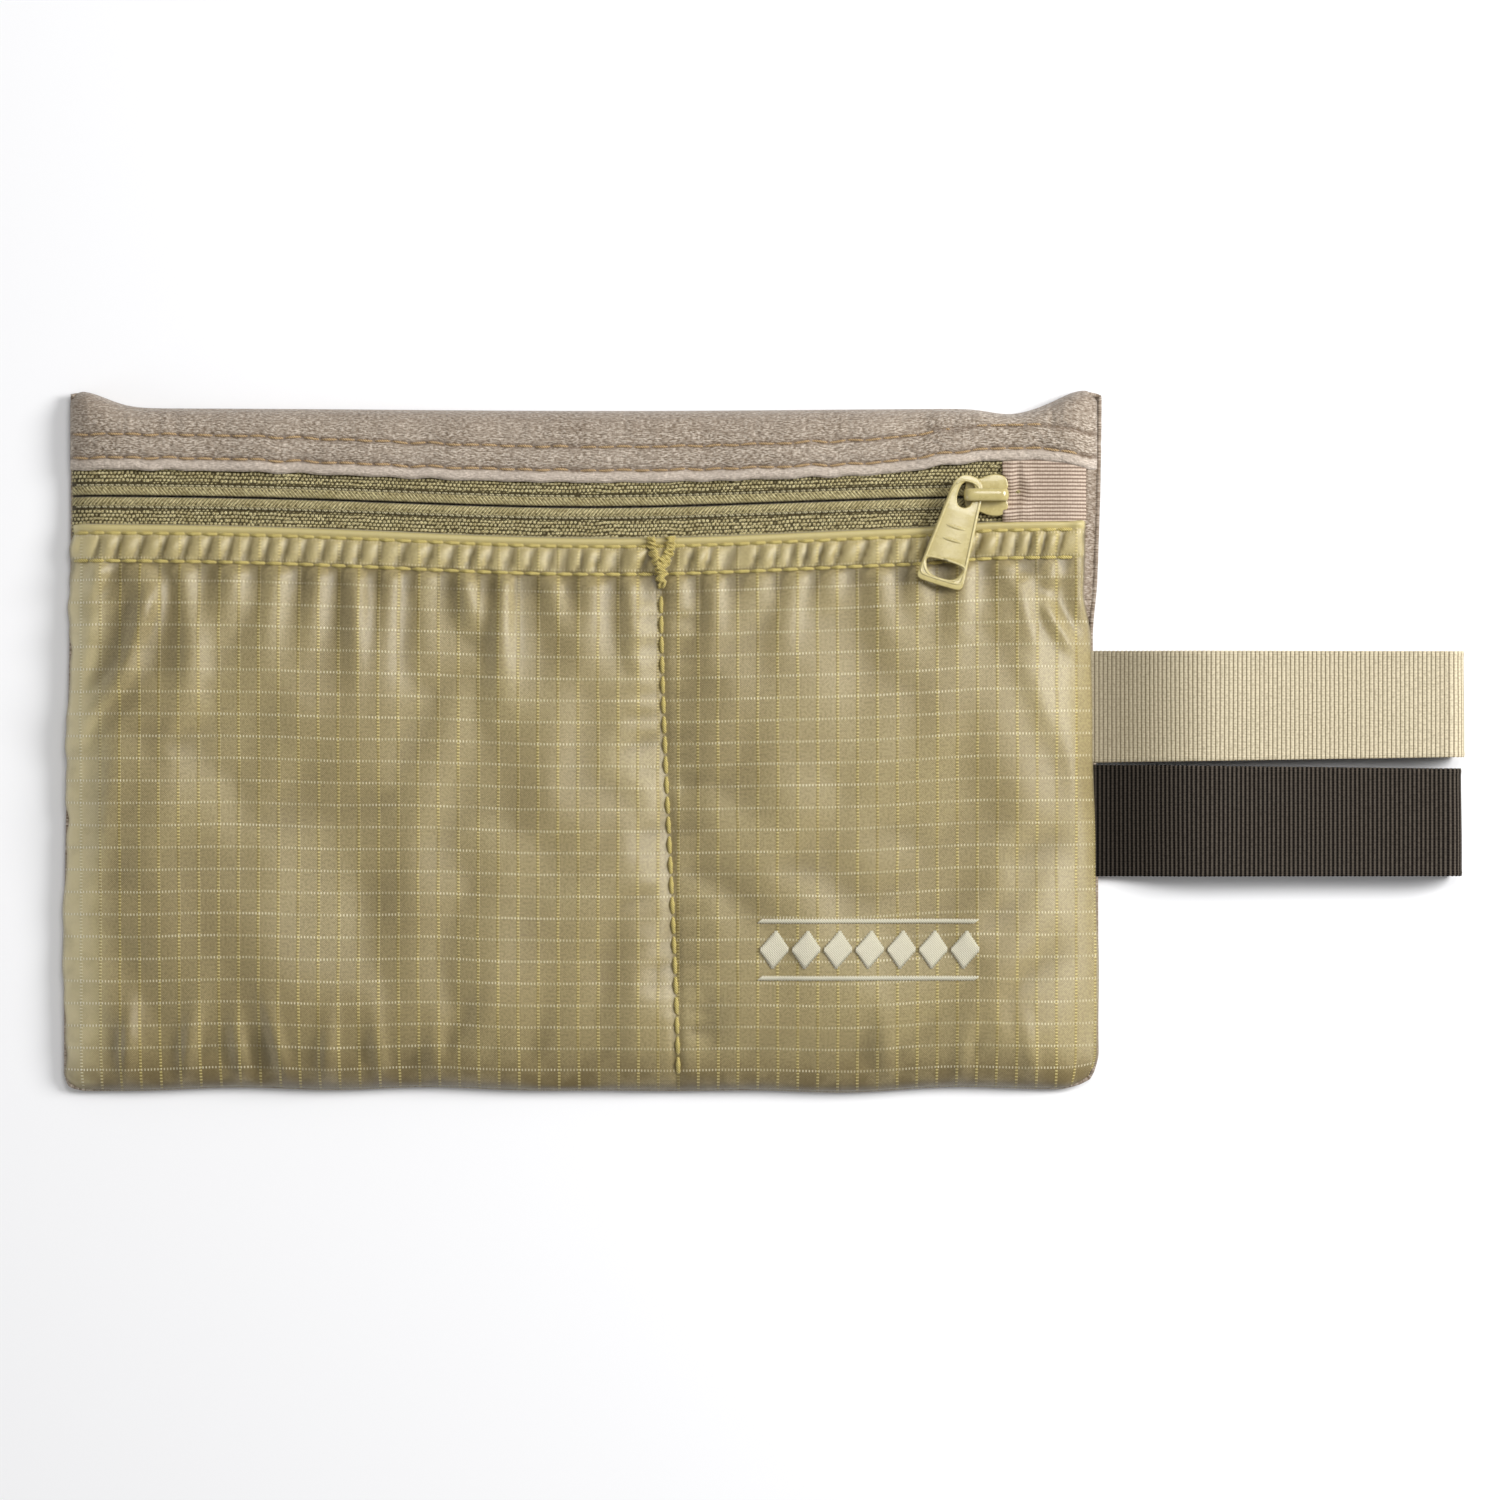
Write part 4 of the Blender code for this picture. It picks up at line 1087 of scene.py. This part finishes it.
def tape_grid(side):
    """One tape, from the slit outwards; side is 1 for the upper tape and -1 for the lower."""
    x_line = np.linspace(left_edge(ZIP_Y) + 0.3 * MM, right_edge(ZIP_Y) - 3.2 * MM, TAPE_COLUMNS)
    away_line = np.linspace(0.09 * MM, 8.4 * MM, TAPE_STEPS)
    x, away = np.meshgrid(x_line, away_line if side > 0 else away_line[::-1], indexing="ij")
    y = zip_line(x) + side * away
    z = tape_height(x, away)
    return xyz(x, y, z), (x - LEFT, side * away), tape_weave(x, away)[1]


def zip_tapes():
    points, flat, shade = tape_grid(-1)
    piece = cloth("zip_tape_lower_woven", points, flat, FINISHES["zip_tape"], TAPE, shade=shade)
    place_piece(piece, "pouch", "zip_tape_lower")
    points, flat, shade = tape_grid(1)
    halves = split_lip("zip_tape_upper_woven", points, flat, shade, FINISHES["zip_tape"], TAPE,
                       "zip_tape_upper")
    return piece, halves


def top_band():
    points, flat, seams = band_grid()
    return split_lip("top_band_cloth", points, flat, seams, FINISHES["brushed_band"], FLEECE,
                     "top_band")


def half_rows(build, name, start, end, replaces):
    """Two halves of a lip's thread or coil, each for its own side of the mouth."""
    for side, low, high in (("left", start, MIDDLE_X), ("right", MIDDLE_X, end)):
        piece = build(f"{name}_{side}", low, high)
        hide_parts(replaces)
        bend_lip(piece, side)


def row_path(line, height, start):
    """A row's points at distances t from start: line(x) is its y, height(x, y) its cloth."""

    def path(t):
        x = start + t
        y = line(x)
        return xyz(x, y, height(x, y))

    return path


def coil_builder(side):
    """Builds nylon coils under one tape, each as one helix with flattened loops."""
    pitch, per_turn, wire = 1.15 * MM, 14, 0.24 * MM

    def build(name, start, end):
        turns = int((end - start) / pitch)
        angle = np.linspace(0, turns * 2 * math.pi, turns * per_turn + 1)
        x = start + angle / (2 * math.pi) * pitch
        width = coil_high.y - coil_low.y
        y = zip_line(x) + side * (0.65 * MM + width / 2) + 0.72 * MM * np.cos(angle)
        z = (coil_low.z + coil_high.z) / 2 + 0.46 * MM * np.sin(angle)
        tube = Tubes()
        tube.add(xyz(x, y, z), np.full(len(x), wire), sides=7, up=(1, 0, 0))
        return tube.make(name, FINISHES["zip_coil"])

    return build


def chain_builder(side):
    """Builds chain stitches beside the slit, on one tape."""

    def line(x):
        return zip_line(x) + side * COIL_SEAM

    def height(x, y):
        return tape_height(x, np.abs(y - zip_line(x)))

    def build(name, low, high):
        path = row_path(line, height, low)
        return stitches(name, path, high - low, COIL_STITCH, 0.19 * MM, FINISHES["thread_tape"], 0.74)

    return build


def zip_threads():
    """Chain stitches beside the slit, and the coils under the tapes."""
    start, end = LEFT + 2.6 * MM, tab_low.x - 2.6 * MM
    lower = chain_builder(-1)("coil_stitches_lower", start, end)
    place_piece(lower, "pouch", "coil_stitch_lower")
    half_rows(chain_builder(1), "coil_stitches_upper", start, end, "coil_stitch_upper")

    start, end = coil_low.x, coil_high.x
    lower = coil_builder(-1)("zip_coil_lower_loops", start, end)
    place_piece(lower, "pouch", "zip_coil_lower")
    half_rows(coil_builder(1), "zip_coil_upper_loops", start, end, "zip_coil_upper")


def band_builder(row):
    """Builds stitches on the band, row above its lower edge."""

    def line(x):
        return band_line(x) + row

    def build(name, low, high):
        path = row_path(line, band_height, low)
        return stitches(name, path, high - low, BAND_PITCH, 0.23 * MM, FINISHES["thread_ochre"], 0.90)

    return build


def band_threads():
    start, end = LEFT + 2.0 * MM, RIGHT - 3.0 * MM
    for row, last, name in zip(BAND_ROWS, (end, end - 6 * MM), ("band_stitch_lower", "band_stitch_upper")):
        half_rows(band_builder(row), f"{name}es", start, last, name)


def hem_threads():
    start, length = LEFT + 2.2 * MM, RIGHT - LEFT - 5.5 * MM
    for row, name in zip(HEM_ROWS, ("hem_stitch_upper", "hem_stitch_lower")):

        def line(x, row=row):
            return hem_line(x) - row

        path = row_path(line, panel_height, start)
        piece = stitches(f"{name}es", path, length, HEM_PITCH, 0.35 * MM, FINISHES["thread_gold"], 0.96)
        place_piece(piece, "pouch", name)


def divider_threads():
    high, low = 26 * MM, BOTTOM + 2.2 * MM

    def path(t):
        y = high - t
        x = divider_x(y)
        return xyz(x, y, panel_height(x, y))

    piece = stitches("divider_seam_stitches", path, high - low, DIVIDER_PITCH, 0.42 * MM,
                     FINISHES["thread_gold"], 0.84)
    place_piece(piece, "pouch", "divider_stitching")

    tack = Tubes()
    draw = np.random.default_rng(9)
    high, low = 36.6 * MM, 27.0 * MM
    strands, wraps = 8, 22
    for strand in range(strands):
        arm = -1 if strand % 2 else 1
        t = np.linspace(0, 1, 70)
        y = high - (high - low) * t * draw.uniform(0.55, 1.0)
        spread = arm * 1.7 * MM * (1 - smooth(t, 0.15, 0.85)) + draw.uniform(-0.4, 0.4) * MM
        wander = 0.35 * MM * np.sin(2 * math.pi * (t * draw.uniform(3, 6) + draw.uniform(0, 1)))
        x = divider_x(y) + spread + wander
        rise = 0.30 + 0.35 * np.sin(2 * math.pi * (t * draw.uniform(4, 7) + draw.uniform(0, 1)))
        z = panel_height(x, y) + (0.20 + rise) * MM
        tack.add(xyz(x, y, z), np.full(len(t), 0.27 * MM), sides=8)
    for index in range(wraps):
        down = 0.85 * index / wraps
        y = high - (high - low) * down
        arm = -1 if index % 2 else 1
        middle = divider_x(y) + arm * 1.6 * MM * (1 - smooth(np.array(down), 0.15, 0.75))
        half = draw.uniform(0.5, 0.95) * MM
        share = np.linspace(-1, 1, 9)
        slant = draw.uniform(-0.6, 0.6) * MM
        x, line_y = middle + half * share, y + slant * share
        z = panel_height(x, line_y) + (0.15 + 0.95 * (1 - share**2)) * MM
        tack.add(xyz(x, line_y, z), np.full(len(share), 0.24 * MM), sides=8)
    piece = tack.make("divider_bar_tack_threads", FINISHES["thread_gold"])
    place_piece(piece, "pouch", "divider_bar_tack")


def ribbon_line(length, gap, thickness, gather):
    """A belt loop's line in x and z: out along the ground, round the far fold and back to the seam."""
    rise = (gap + thickness) / 2
    far = length - rise - thickness / 2
    out = np.linspace(-ROOT_TUCK, far, LOOP_STRAIGHT)[:-1]
    turn = np.linspace(-math.pi / 2, math.pi / 2, LOOP_FOLD)
    back = np.linspace(far, -ROOT_TUCK, LOOP_STRAIGHT)[1:]
    root = thickness / 2 + thickness + gather
    top = thickness / 2 + 2 * rise
    x = np.concatenate([out, far + rise * np.cos(turn), back])
    upper = root + (top - root) * smooth(back / far, 0.0, RISE_SHARE)
    lower = np.full(len(out), thickness / 2)
    return x, np.concatenate([lower, thickness / 2 + rise * (1 + np.sin(turn)), upper])


def belt_loop(name, low, high, finish_name, joint, replaces, narrow):
    """Grosgrain webbing, with its ribs and its firmer edges in the mesh. narrow is how far its lower
    and upper edges draw in towards the fold, where it twists a little."""
    x_line, z_line = ribbon_line(high.x - low.x, high.z - low.z - 2 * WEBBING, WEBBING, 0.3 * MM)
    run = np.concatenate([[0], np.cumsum(np.hypot(np.diff(x_line), np.diff(z_line)))])
    samples = int(run[-1] / (RIB / POINTS_PER_RIB))
    s = np.linspace(0, run[-1], samples)
    x, z = np.interp(s, run, x_line), np.interp(s, run, z_line)
    slope = np.stack([np.gradient(x), np.gradient(z)], axis=-1)
    slope /= np.linalg.norm(slope, axis=1)[:, None]
    width = np.array([0, 0.15, 0.5, 0.9, 1.1, 4, 8, 12, 16, 18.9, 19.1, 19.5, 19.85, 20]) * MM / WEBBING_WIDTH
    s_grid, w_grid = np.meshgrid(s, width, indexing="ij")
    ribs = 0.085 * MM * np.sqrt(wave(s_grid, RIB))
    selvedge = 0.09 * MM * (bell(w_grid, 0.028, 0.02) + bell(w_grid, 0.972, 0.02))
    out = ribs + selvedge + 0.18 * MM * ripple(s_grid, w_grid * WEBBING_WIDTH, 40 * MM, 51)
    wavy = 0.06 * MM * np.cos(2 * math.pi * s_grid / RIB) * (np.abs(w_grid - 0.5) > 0.49)
    far = np.clip(x / x.max(), 0, 1)[:, None]
    bottom, top = low.y + narrow[0] * far, high.y - narrow[1] * far
    points = np.stack([
        low.x + x[:, None] + slope[:, 1][:, None] * out,
        bottom + (top - bottom) * w_grid + wavy,
        np.maximum(z[:, None] - slope[:, 0][:, None] * out, 0.5 * MM),
    ], axis=-1)
    # Painted shade near the seam, darkest where the webbing meets the pouch.
    shade = 0.75 * (1 - smooth(points[:, :, 0] - RIGHT, 0, 16 * MM))
    cut = (s_grid, w_grid * WEBBING_WIDTH)
    piece = cloth(name, points, cut, FINISHES[finish_name], WEBBING, 0.0, shade)
    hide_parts(replaces)
    pivot = joints[joint]["pos_m"]
    pivot[0] + LOOP_BEND
    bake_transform(piece)
    return piece


def end_tab():
    """Ribbed webbing folded over the closed end of the zip."""
    x_line = np.linspace(tab_low.x - 1.6 * MM, tab_high.x + 0.5 * MM, TAB_COLUMNS)
    x, share = np.meshgrid(x_line, np.linspace(0, 1, TAB_STEPS), indexing="ij")
    low = hem_line(x) - 0.2 * MM
    high = band_line(x) + 0.6 * MM
    y = low + (high - low) * share
    folded = 0.45 * MM * shoulder(x - x_line[0], 0.8 * MM) + 0.25 * MM * bell(x, 46.6 * MM, 0.7 * MM)
    fade = 1 - smooth(x - x_line[0], 1.5 * MM, 7 * MM)
    crumple = 0.35 * MM * ripple(x, y * 0.6, 3.4 * MM, 71, 10) * fade
    run_y = y + 0.35 * crumple
    ribs = 0.085 * MM * np.sqrt(wave(run_y, TAB_RIB)) + crumple
    z = TAPE_TOP + folded + ribs + 0.3 * MM
    sides = shoulder(right_edge(ZIP_Y) - x, ZIP_SHOULDER)
    z = RIM + (z - RIM) * sides
    points = xyz(x, y, z)
    piece = cloth("zip_end_tab_webbing", points, (x, run_y), FINISHES["webbing_end_tab"], 0.6 * MM)
    return place_piece(piece, "pouch", "zip_end_tab")


def soften(points, rounds=3):
    """Cuts the corners of a closed outline, again and again, into smooth curves."""
    points = np.asarray(points, float)
    for _ in range(rounds):
        after = np.roll(points, -1, axis=0)
        near, far = 0.75 * points + 0.25 * after, 0.25 * points + 0.75 * after
        points = np.stack([near, far], axis=1).reshape(-1, 2)
    return points


def plate(name, outlines, thickness, edge, finish):
    """A flat plate with rounded edges, filled between its outlines, centred on z = 0."""
    curve = bpy.data.curves.new(name, "CURVE")
    curve.dimensions = "2D"
    curve.fill_mode = "BOTH"
    curve.extrude = thickness / 2 - edge
    curve.bevel_depth = edge
    curve.bevel_resolution = 3
    curve.offset = -edge
    for points in outlines:
        loop = curve.splines.new("POLY")
        loop.points.add(len(points) - 1)
        for point, target in zip(loop.points, points):
            point.co = (*target, 0.0, 1.0)
        loop.use_cyclic_u = True
    holder = bpy.data.objects.new(name, curve)
    bpy.context.scene.collection.objects.link(holder)
    bpy.context.view_layer.update()
    mesh = bpy.data.meshes.new_from_object(holder.evaluated_get(bpy.context.evaluated_depsgraph_get()))
    bpy.data.objects.remove(holder)
    face_out(mesh, 0.004 * MM)
    mesh.materials.clear()
    mesh.shade_smooth()
    mesh.set_sharp_from_angle(angle=SHARP)
    return new_object(name, mesh, finish)


def merge(pieces, name):
    """Joins pieces into the first one's mesh."""
    joined = bmesh.new()
    bpy.context.view_layer.update()
    for piece in pieces:
        mesh = piece.data.copy()
        mesh.transform(piece.matrix_world)
        joined.from_mesh(mesh)
        bpy.data.meshes.remove(mesh)
    mesh = bpy.data.meshes.new(name)
    joined.to_mesh(mesh)
    joined.free()
    finish = pieces[0].data.materials[0]
    for piece in pieces:
        bpy.data.objects.remove(piece)
    return new_object(name, mesh, finish)


def slider():
    paint = FINISHES["painted_slider"]
    half = [(0.3, 2.4), (1.4, 3.1), (2.9, 2.9), (4.3, 3.6), (6.2, 3.85), (7.7, 3.3), (8.2, 1.7), (7.7, 0.7)]
    other_half = [(x, -y) for x, y in reversed(half)]
    outline = soften(np.array(half + other_half) * MM)
    body_parts = []
    for level, thickness in ((slider_high.z - 0.42 * MM, 0.85 * MM), (slider_low.z + 0.45 * MM, 0.9 * MM)):
        part = plate("slider_plate", [outline], thickness, 0.25 * MM, paint)
        part.location = (slider_low.x, ZIP_Y, level)
        body_parts.append(part)
    neck = Tubes()
    neck_x = slider_high.x - 1.1 * MM
    neck_z = np.linspace(slider_low.z + 0.3 * MM, slider_high.z - 0.3 * MM, 6)
    neck_radii = np.tile([0.3 * MM, 0.7 * MM], (len(neck_z), 1))
    neck.add([(neck_x, ZIP_Y, z) for z in neck_z], neck_radii, 12, (1, 0, 0))
    body_parts.append(neck.make("slider_neck", paint))
    body = merge(body_parts, "slider_body_cast")
    place_piece(body, "slider", "slider_body")

    steps, half_thick, squareness = 40, 0.45 * MM, 0.35
    length = crown_high.x - crown_low.x - 2 * half_thick
    height = crown_high.z - slider_high.z - half_thick
    angle = np.linspace(0, math.pi, steps)
    bow = 1 - np.sign(np.cos(angle)) * np.abs(np.cos(angle)) ** squareness
    x = crown_low.x + half_thick + length / 2 * bow
    z = slider_high.z - 0.05 * MM + height * np.sin(angle) ** squareness
    radii = np.tile([1.12 * MM, half_thick], (steps, 1))
    bridge = Tubes()
    bridge.add(xyz(x, np.full(steps, ZIP_Y), z), radii, 16)
    piece = bridge.make("slider_crown_cast", paint)
    place_piece(piece, "slider", "slider_crown")


def ring_of(points, z):
    closed = np.concatenate([points, points[:1], points[1:2]])
    return np.concatenate([closed, np.full((len(closed), 1), z)], axis=1)


def pull_tab():
    """A flat cast tab with an eye for the crown, a raised rim, two cross bars and a grip window."""
    paint = FINISHES["painted_slider"]
    back, reach, head, foot = 3.3 * MM, 17.0 * MM, 2.9 * MM, 4.3 * MM
    outer = soften([
        (-head, back - 1.9 * MM), (-head * 0.62, back), (0, back + 0.35 * MM), (head * 0.62, back),
        (head, back - 1.9 * MM), (head + 0.35 * MM, -3 * MM), (foot, -reach + 1.8 * MM),
        (foot * 0.97, -reach + 0.2 * MM), (foot * 0.62, -reach), (-foot * 0.62, -reach),
        (-foot * 0.97, -reach + 0.2 * MM), (-foot, -reach + 1.8 * MM), (-head - 0.35 * MM, -3 * MM),
    ])
    eye_x, eye_y = 1.45 * MM, 2.4 * MM
    eye = soften([(-eye_x, eye_y), (eye_x, eye_y), (eye_x, -eye_y), (-eye_x, -eye_y)])
    window = soften([
        (-3.3 * MM, -12.5 * MM), (3.3 * MM, -12.5 * MM), (3.4 * MM, -13.8 * MM), (2.2 * MM, -15.7 * MM),
        (-2.2 * MM, -15.7 * MM), (-3.4 * MM, -13.8 * MM),
    ])
    parts = [plate("pull_plate", [outer, eye[::-1], window[::-1]], 0.9 * MM, 0.2 * MM, paint)]
    rims = Tubes()
    rim_z = 0.36 * MM
    for points, inset in ((outer, 0.90), (window, 1.14)):
        middle = points.mean(axis=0)
        ring = middle + (points - middle) * inset
        line = ring_of(ring, rim_z)
        rims.add(line, np.full(len(line), 0.24 * MM), 8)
    swell = np.array([0.5, 0.85, 1, 1, 1, 0.85, 0.5])
    for y in (-6.2 * MM, -8.6 * MM):
        bar = xyz(np.linspace(-1.7, 1.7, len(swell)) * MM, np.full(len(swell), y), np.full(len(swell), rim_z))
        rims.add(bar, 0.34 * MM * swell, 10)
    parts.append(rims.make("pull_rim", paint))
    piece = merge(parts, "pull_tab_cast")
    pivot = joints["pull_tab_swivel"]["pos_m"]
    turn = Matrix.Rotation(-PULL_TURN, 4, "Z") @ Matrix.Rotation(-PULL_TILT, 4, "X")
    piece.data.transform(Matrix.Translation(Vector(pivot)) @ turn)
    piece.data.shade_smooth()
    piece.data.set_sharp_from_angle(angle=SHARP)
    place_piece(piece, "pull", "pull_tab")


def ornament():
    """A row of satin-stitched lozenges between two corded lines."""
    low, high = emblem_low, emblem_high
    middle_y = (low.y + high.y) / 2
    count, steps = 7, 9
    pitch = (high.x - low.x) / count
    threads = Tubes()
    share = np.linspace(-1, 1, steps)
    for index in range(count):
        centre = low.x + pitch * (index + 0.5)
        half_wide, half_high = 0.43 * pitch, 3.3 * MM
        for offset in np.arange(-half_wide + 0.12 * MM, half_wide, 0.31 * MM):
            reach = half_high * (1 - abs(offset) / half_wide) + 0.25 * MM
            x = centre + offset + 0.10 * share * reach
            y = middle_y + share * reach
            z = panel_height(x, y) + (0.02 + 0.42 * (1 - share**2) ** 0.5) * MM
            threads.add(xyz(x, y, z), np.full(steps, 0.19 * MM), 7)
    for y_line in (low.y + 1.2 * MM, high.y - 1.2 * MM):
        for x_start in np.arange(low.x, high.x - 0.9 * MM, 0.52 * MM):
            x = x_start + 0.45 * MM * (share + 1)
            y = y_line + 0.34 * MM * share
            z = panel_height(x, y) + (0.05 + 0.25 * (1 - share**2)) * MM
            threads.add(xyz(x, y, z), np.full(steps, 0.17 * MM), 7)
    piece = threads.make("embroidered_lozenges", FINISHES["thread_cream"])
    place_piece(piece, "pouch", "embroidered_ornament")


def hidden_seam():
    """The seam inside the turned edge keeps its CAD shape and takes the thread's finish."""
    seam = bpy.data.objects["edge_seam_thread"]
    for slot in seam.material_slots:
        slot.material = FINISHES["thread_ochre"]


def stage():
    """A plain pale floor, a soft key light from the upper right, weaker lights from above and from the
    left, and even white light all round."""
    mesh = bpy.data.meshes.new("floor")
    far = 3.0
    mesh.from_pydata([(-far, -far, 0), (far, -far, 0), (far, far, 0), (-far, far, 0)], [], [(0, 1, 2, 3)])
    made, _, shader = new_finish("floor", 0.9, specular=0.1)
    shader.inputs["Base Color"].default_value = (0.93, 0.93, 0.94, 1.0)
    floor = new_object("floor", mesh, made)
    floor.location.z = cad_low.z - 0.1 * MM

    world = bpy.data.worlds.new("studio")
    world.use_nodes = True
    world.node_tree.nodes["Background"].inputs["Color"].default_value = (1.0, 1.0, 1.0, 1.0)
    world.node_tree.nodes["Background"].inputs["Strength"].default_value = 0.35
    bpy.context.scene.world = world

    for name, place, size, power in (
        ("key", (0.68, 0.22, 0.52), 0.40, 7.8),
        ("top", (0.16, 0.36, 0.85), 0.36, 2.4),
        ("fill", (-0.95, -0.30, 0.26), 0.50, 1.1),
    ):
        light = bpy.data.lights.new(name, "AREA")
        light.shape = "DISK"
        light.size = size
        light.energy = power
        lamp = bpy.data.objects.new(name, light)
        lamp.location = place
        lamp.rotation_euler = (-Vector(place)).to_track_quat("-Z", "Y").to_euler()
        bpy.context.scene.collection.objects.link(lamp)


def camera():
    """Straight above, far enough away for the 0.27 m frame that holds the whole object."""
    view = bpy.data.cameras.new("camera")
    view.lens = 150
    view.sensor_width = 36
    framed, left, down = 0.27, 2.3 * MM, 1.6 * MM
    made = bpy.data.objects.new("camera", view)
    distance = framed * view.lens / view.sensor_width
    middle = (cad_low + cad_high) / 2
    made.location = (middle.x - left, middle.y - down, CROWN / 2 + distance)
    bpy.context.scene.collection.objects.link(made)
    bpy.context.scene.camera = made
    bpy.context.scene.view_settings.view_transform = "Standard"


camera()
stage()
front = front_panel()
back = back_panel()
tapes = zip_tapes()
band = top_band()
zip_threads()
band_threads()
hem_threads()
divider_threads()
tan = belt_loop("belt_loop_tan_webbing", tan_low, tan_high, "webbing_tan",
                "tan_loop_swing", "belt_loop_tan", (1.0 * MM, 0.1 * MM))
black = belt_loop("belt_loop_black_webbing", black_low, black_high, "webbing_black",
                  "black_loop_swing", "belt_loop_black", (0.1 * MM, 0.7 * MM))
tab = end_tab()
slider()
pull_tab()
ornament()
hidden_seam()
for pair in (tapes[1], band):
    bend_lip(pair[0], "left")
    bend_lip(pair[1], "right")
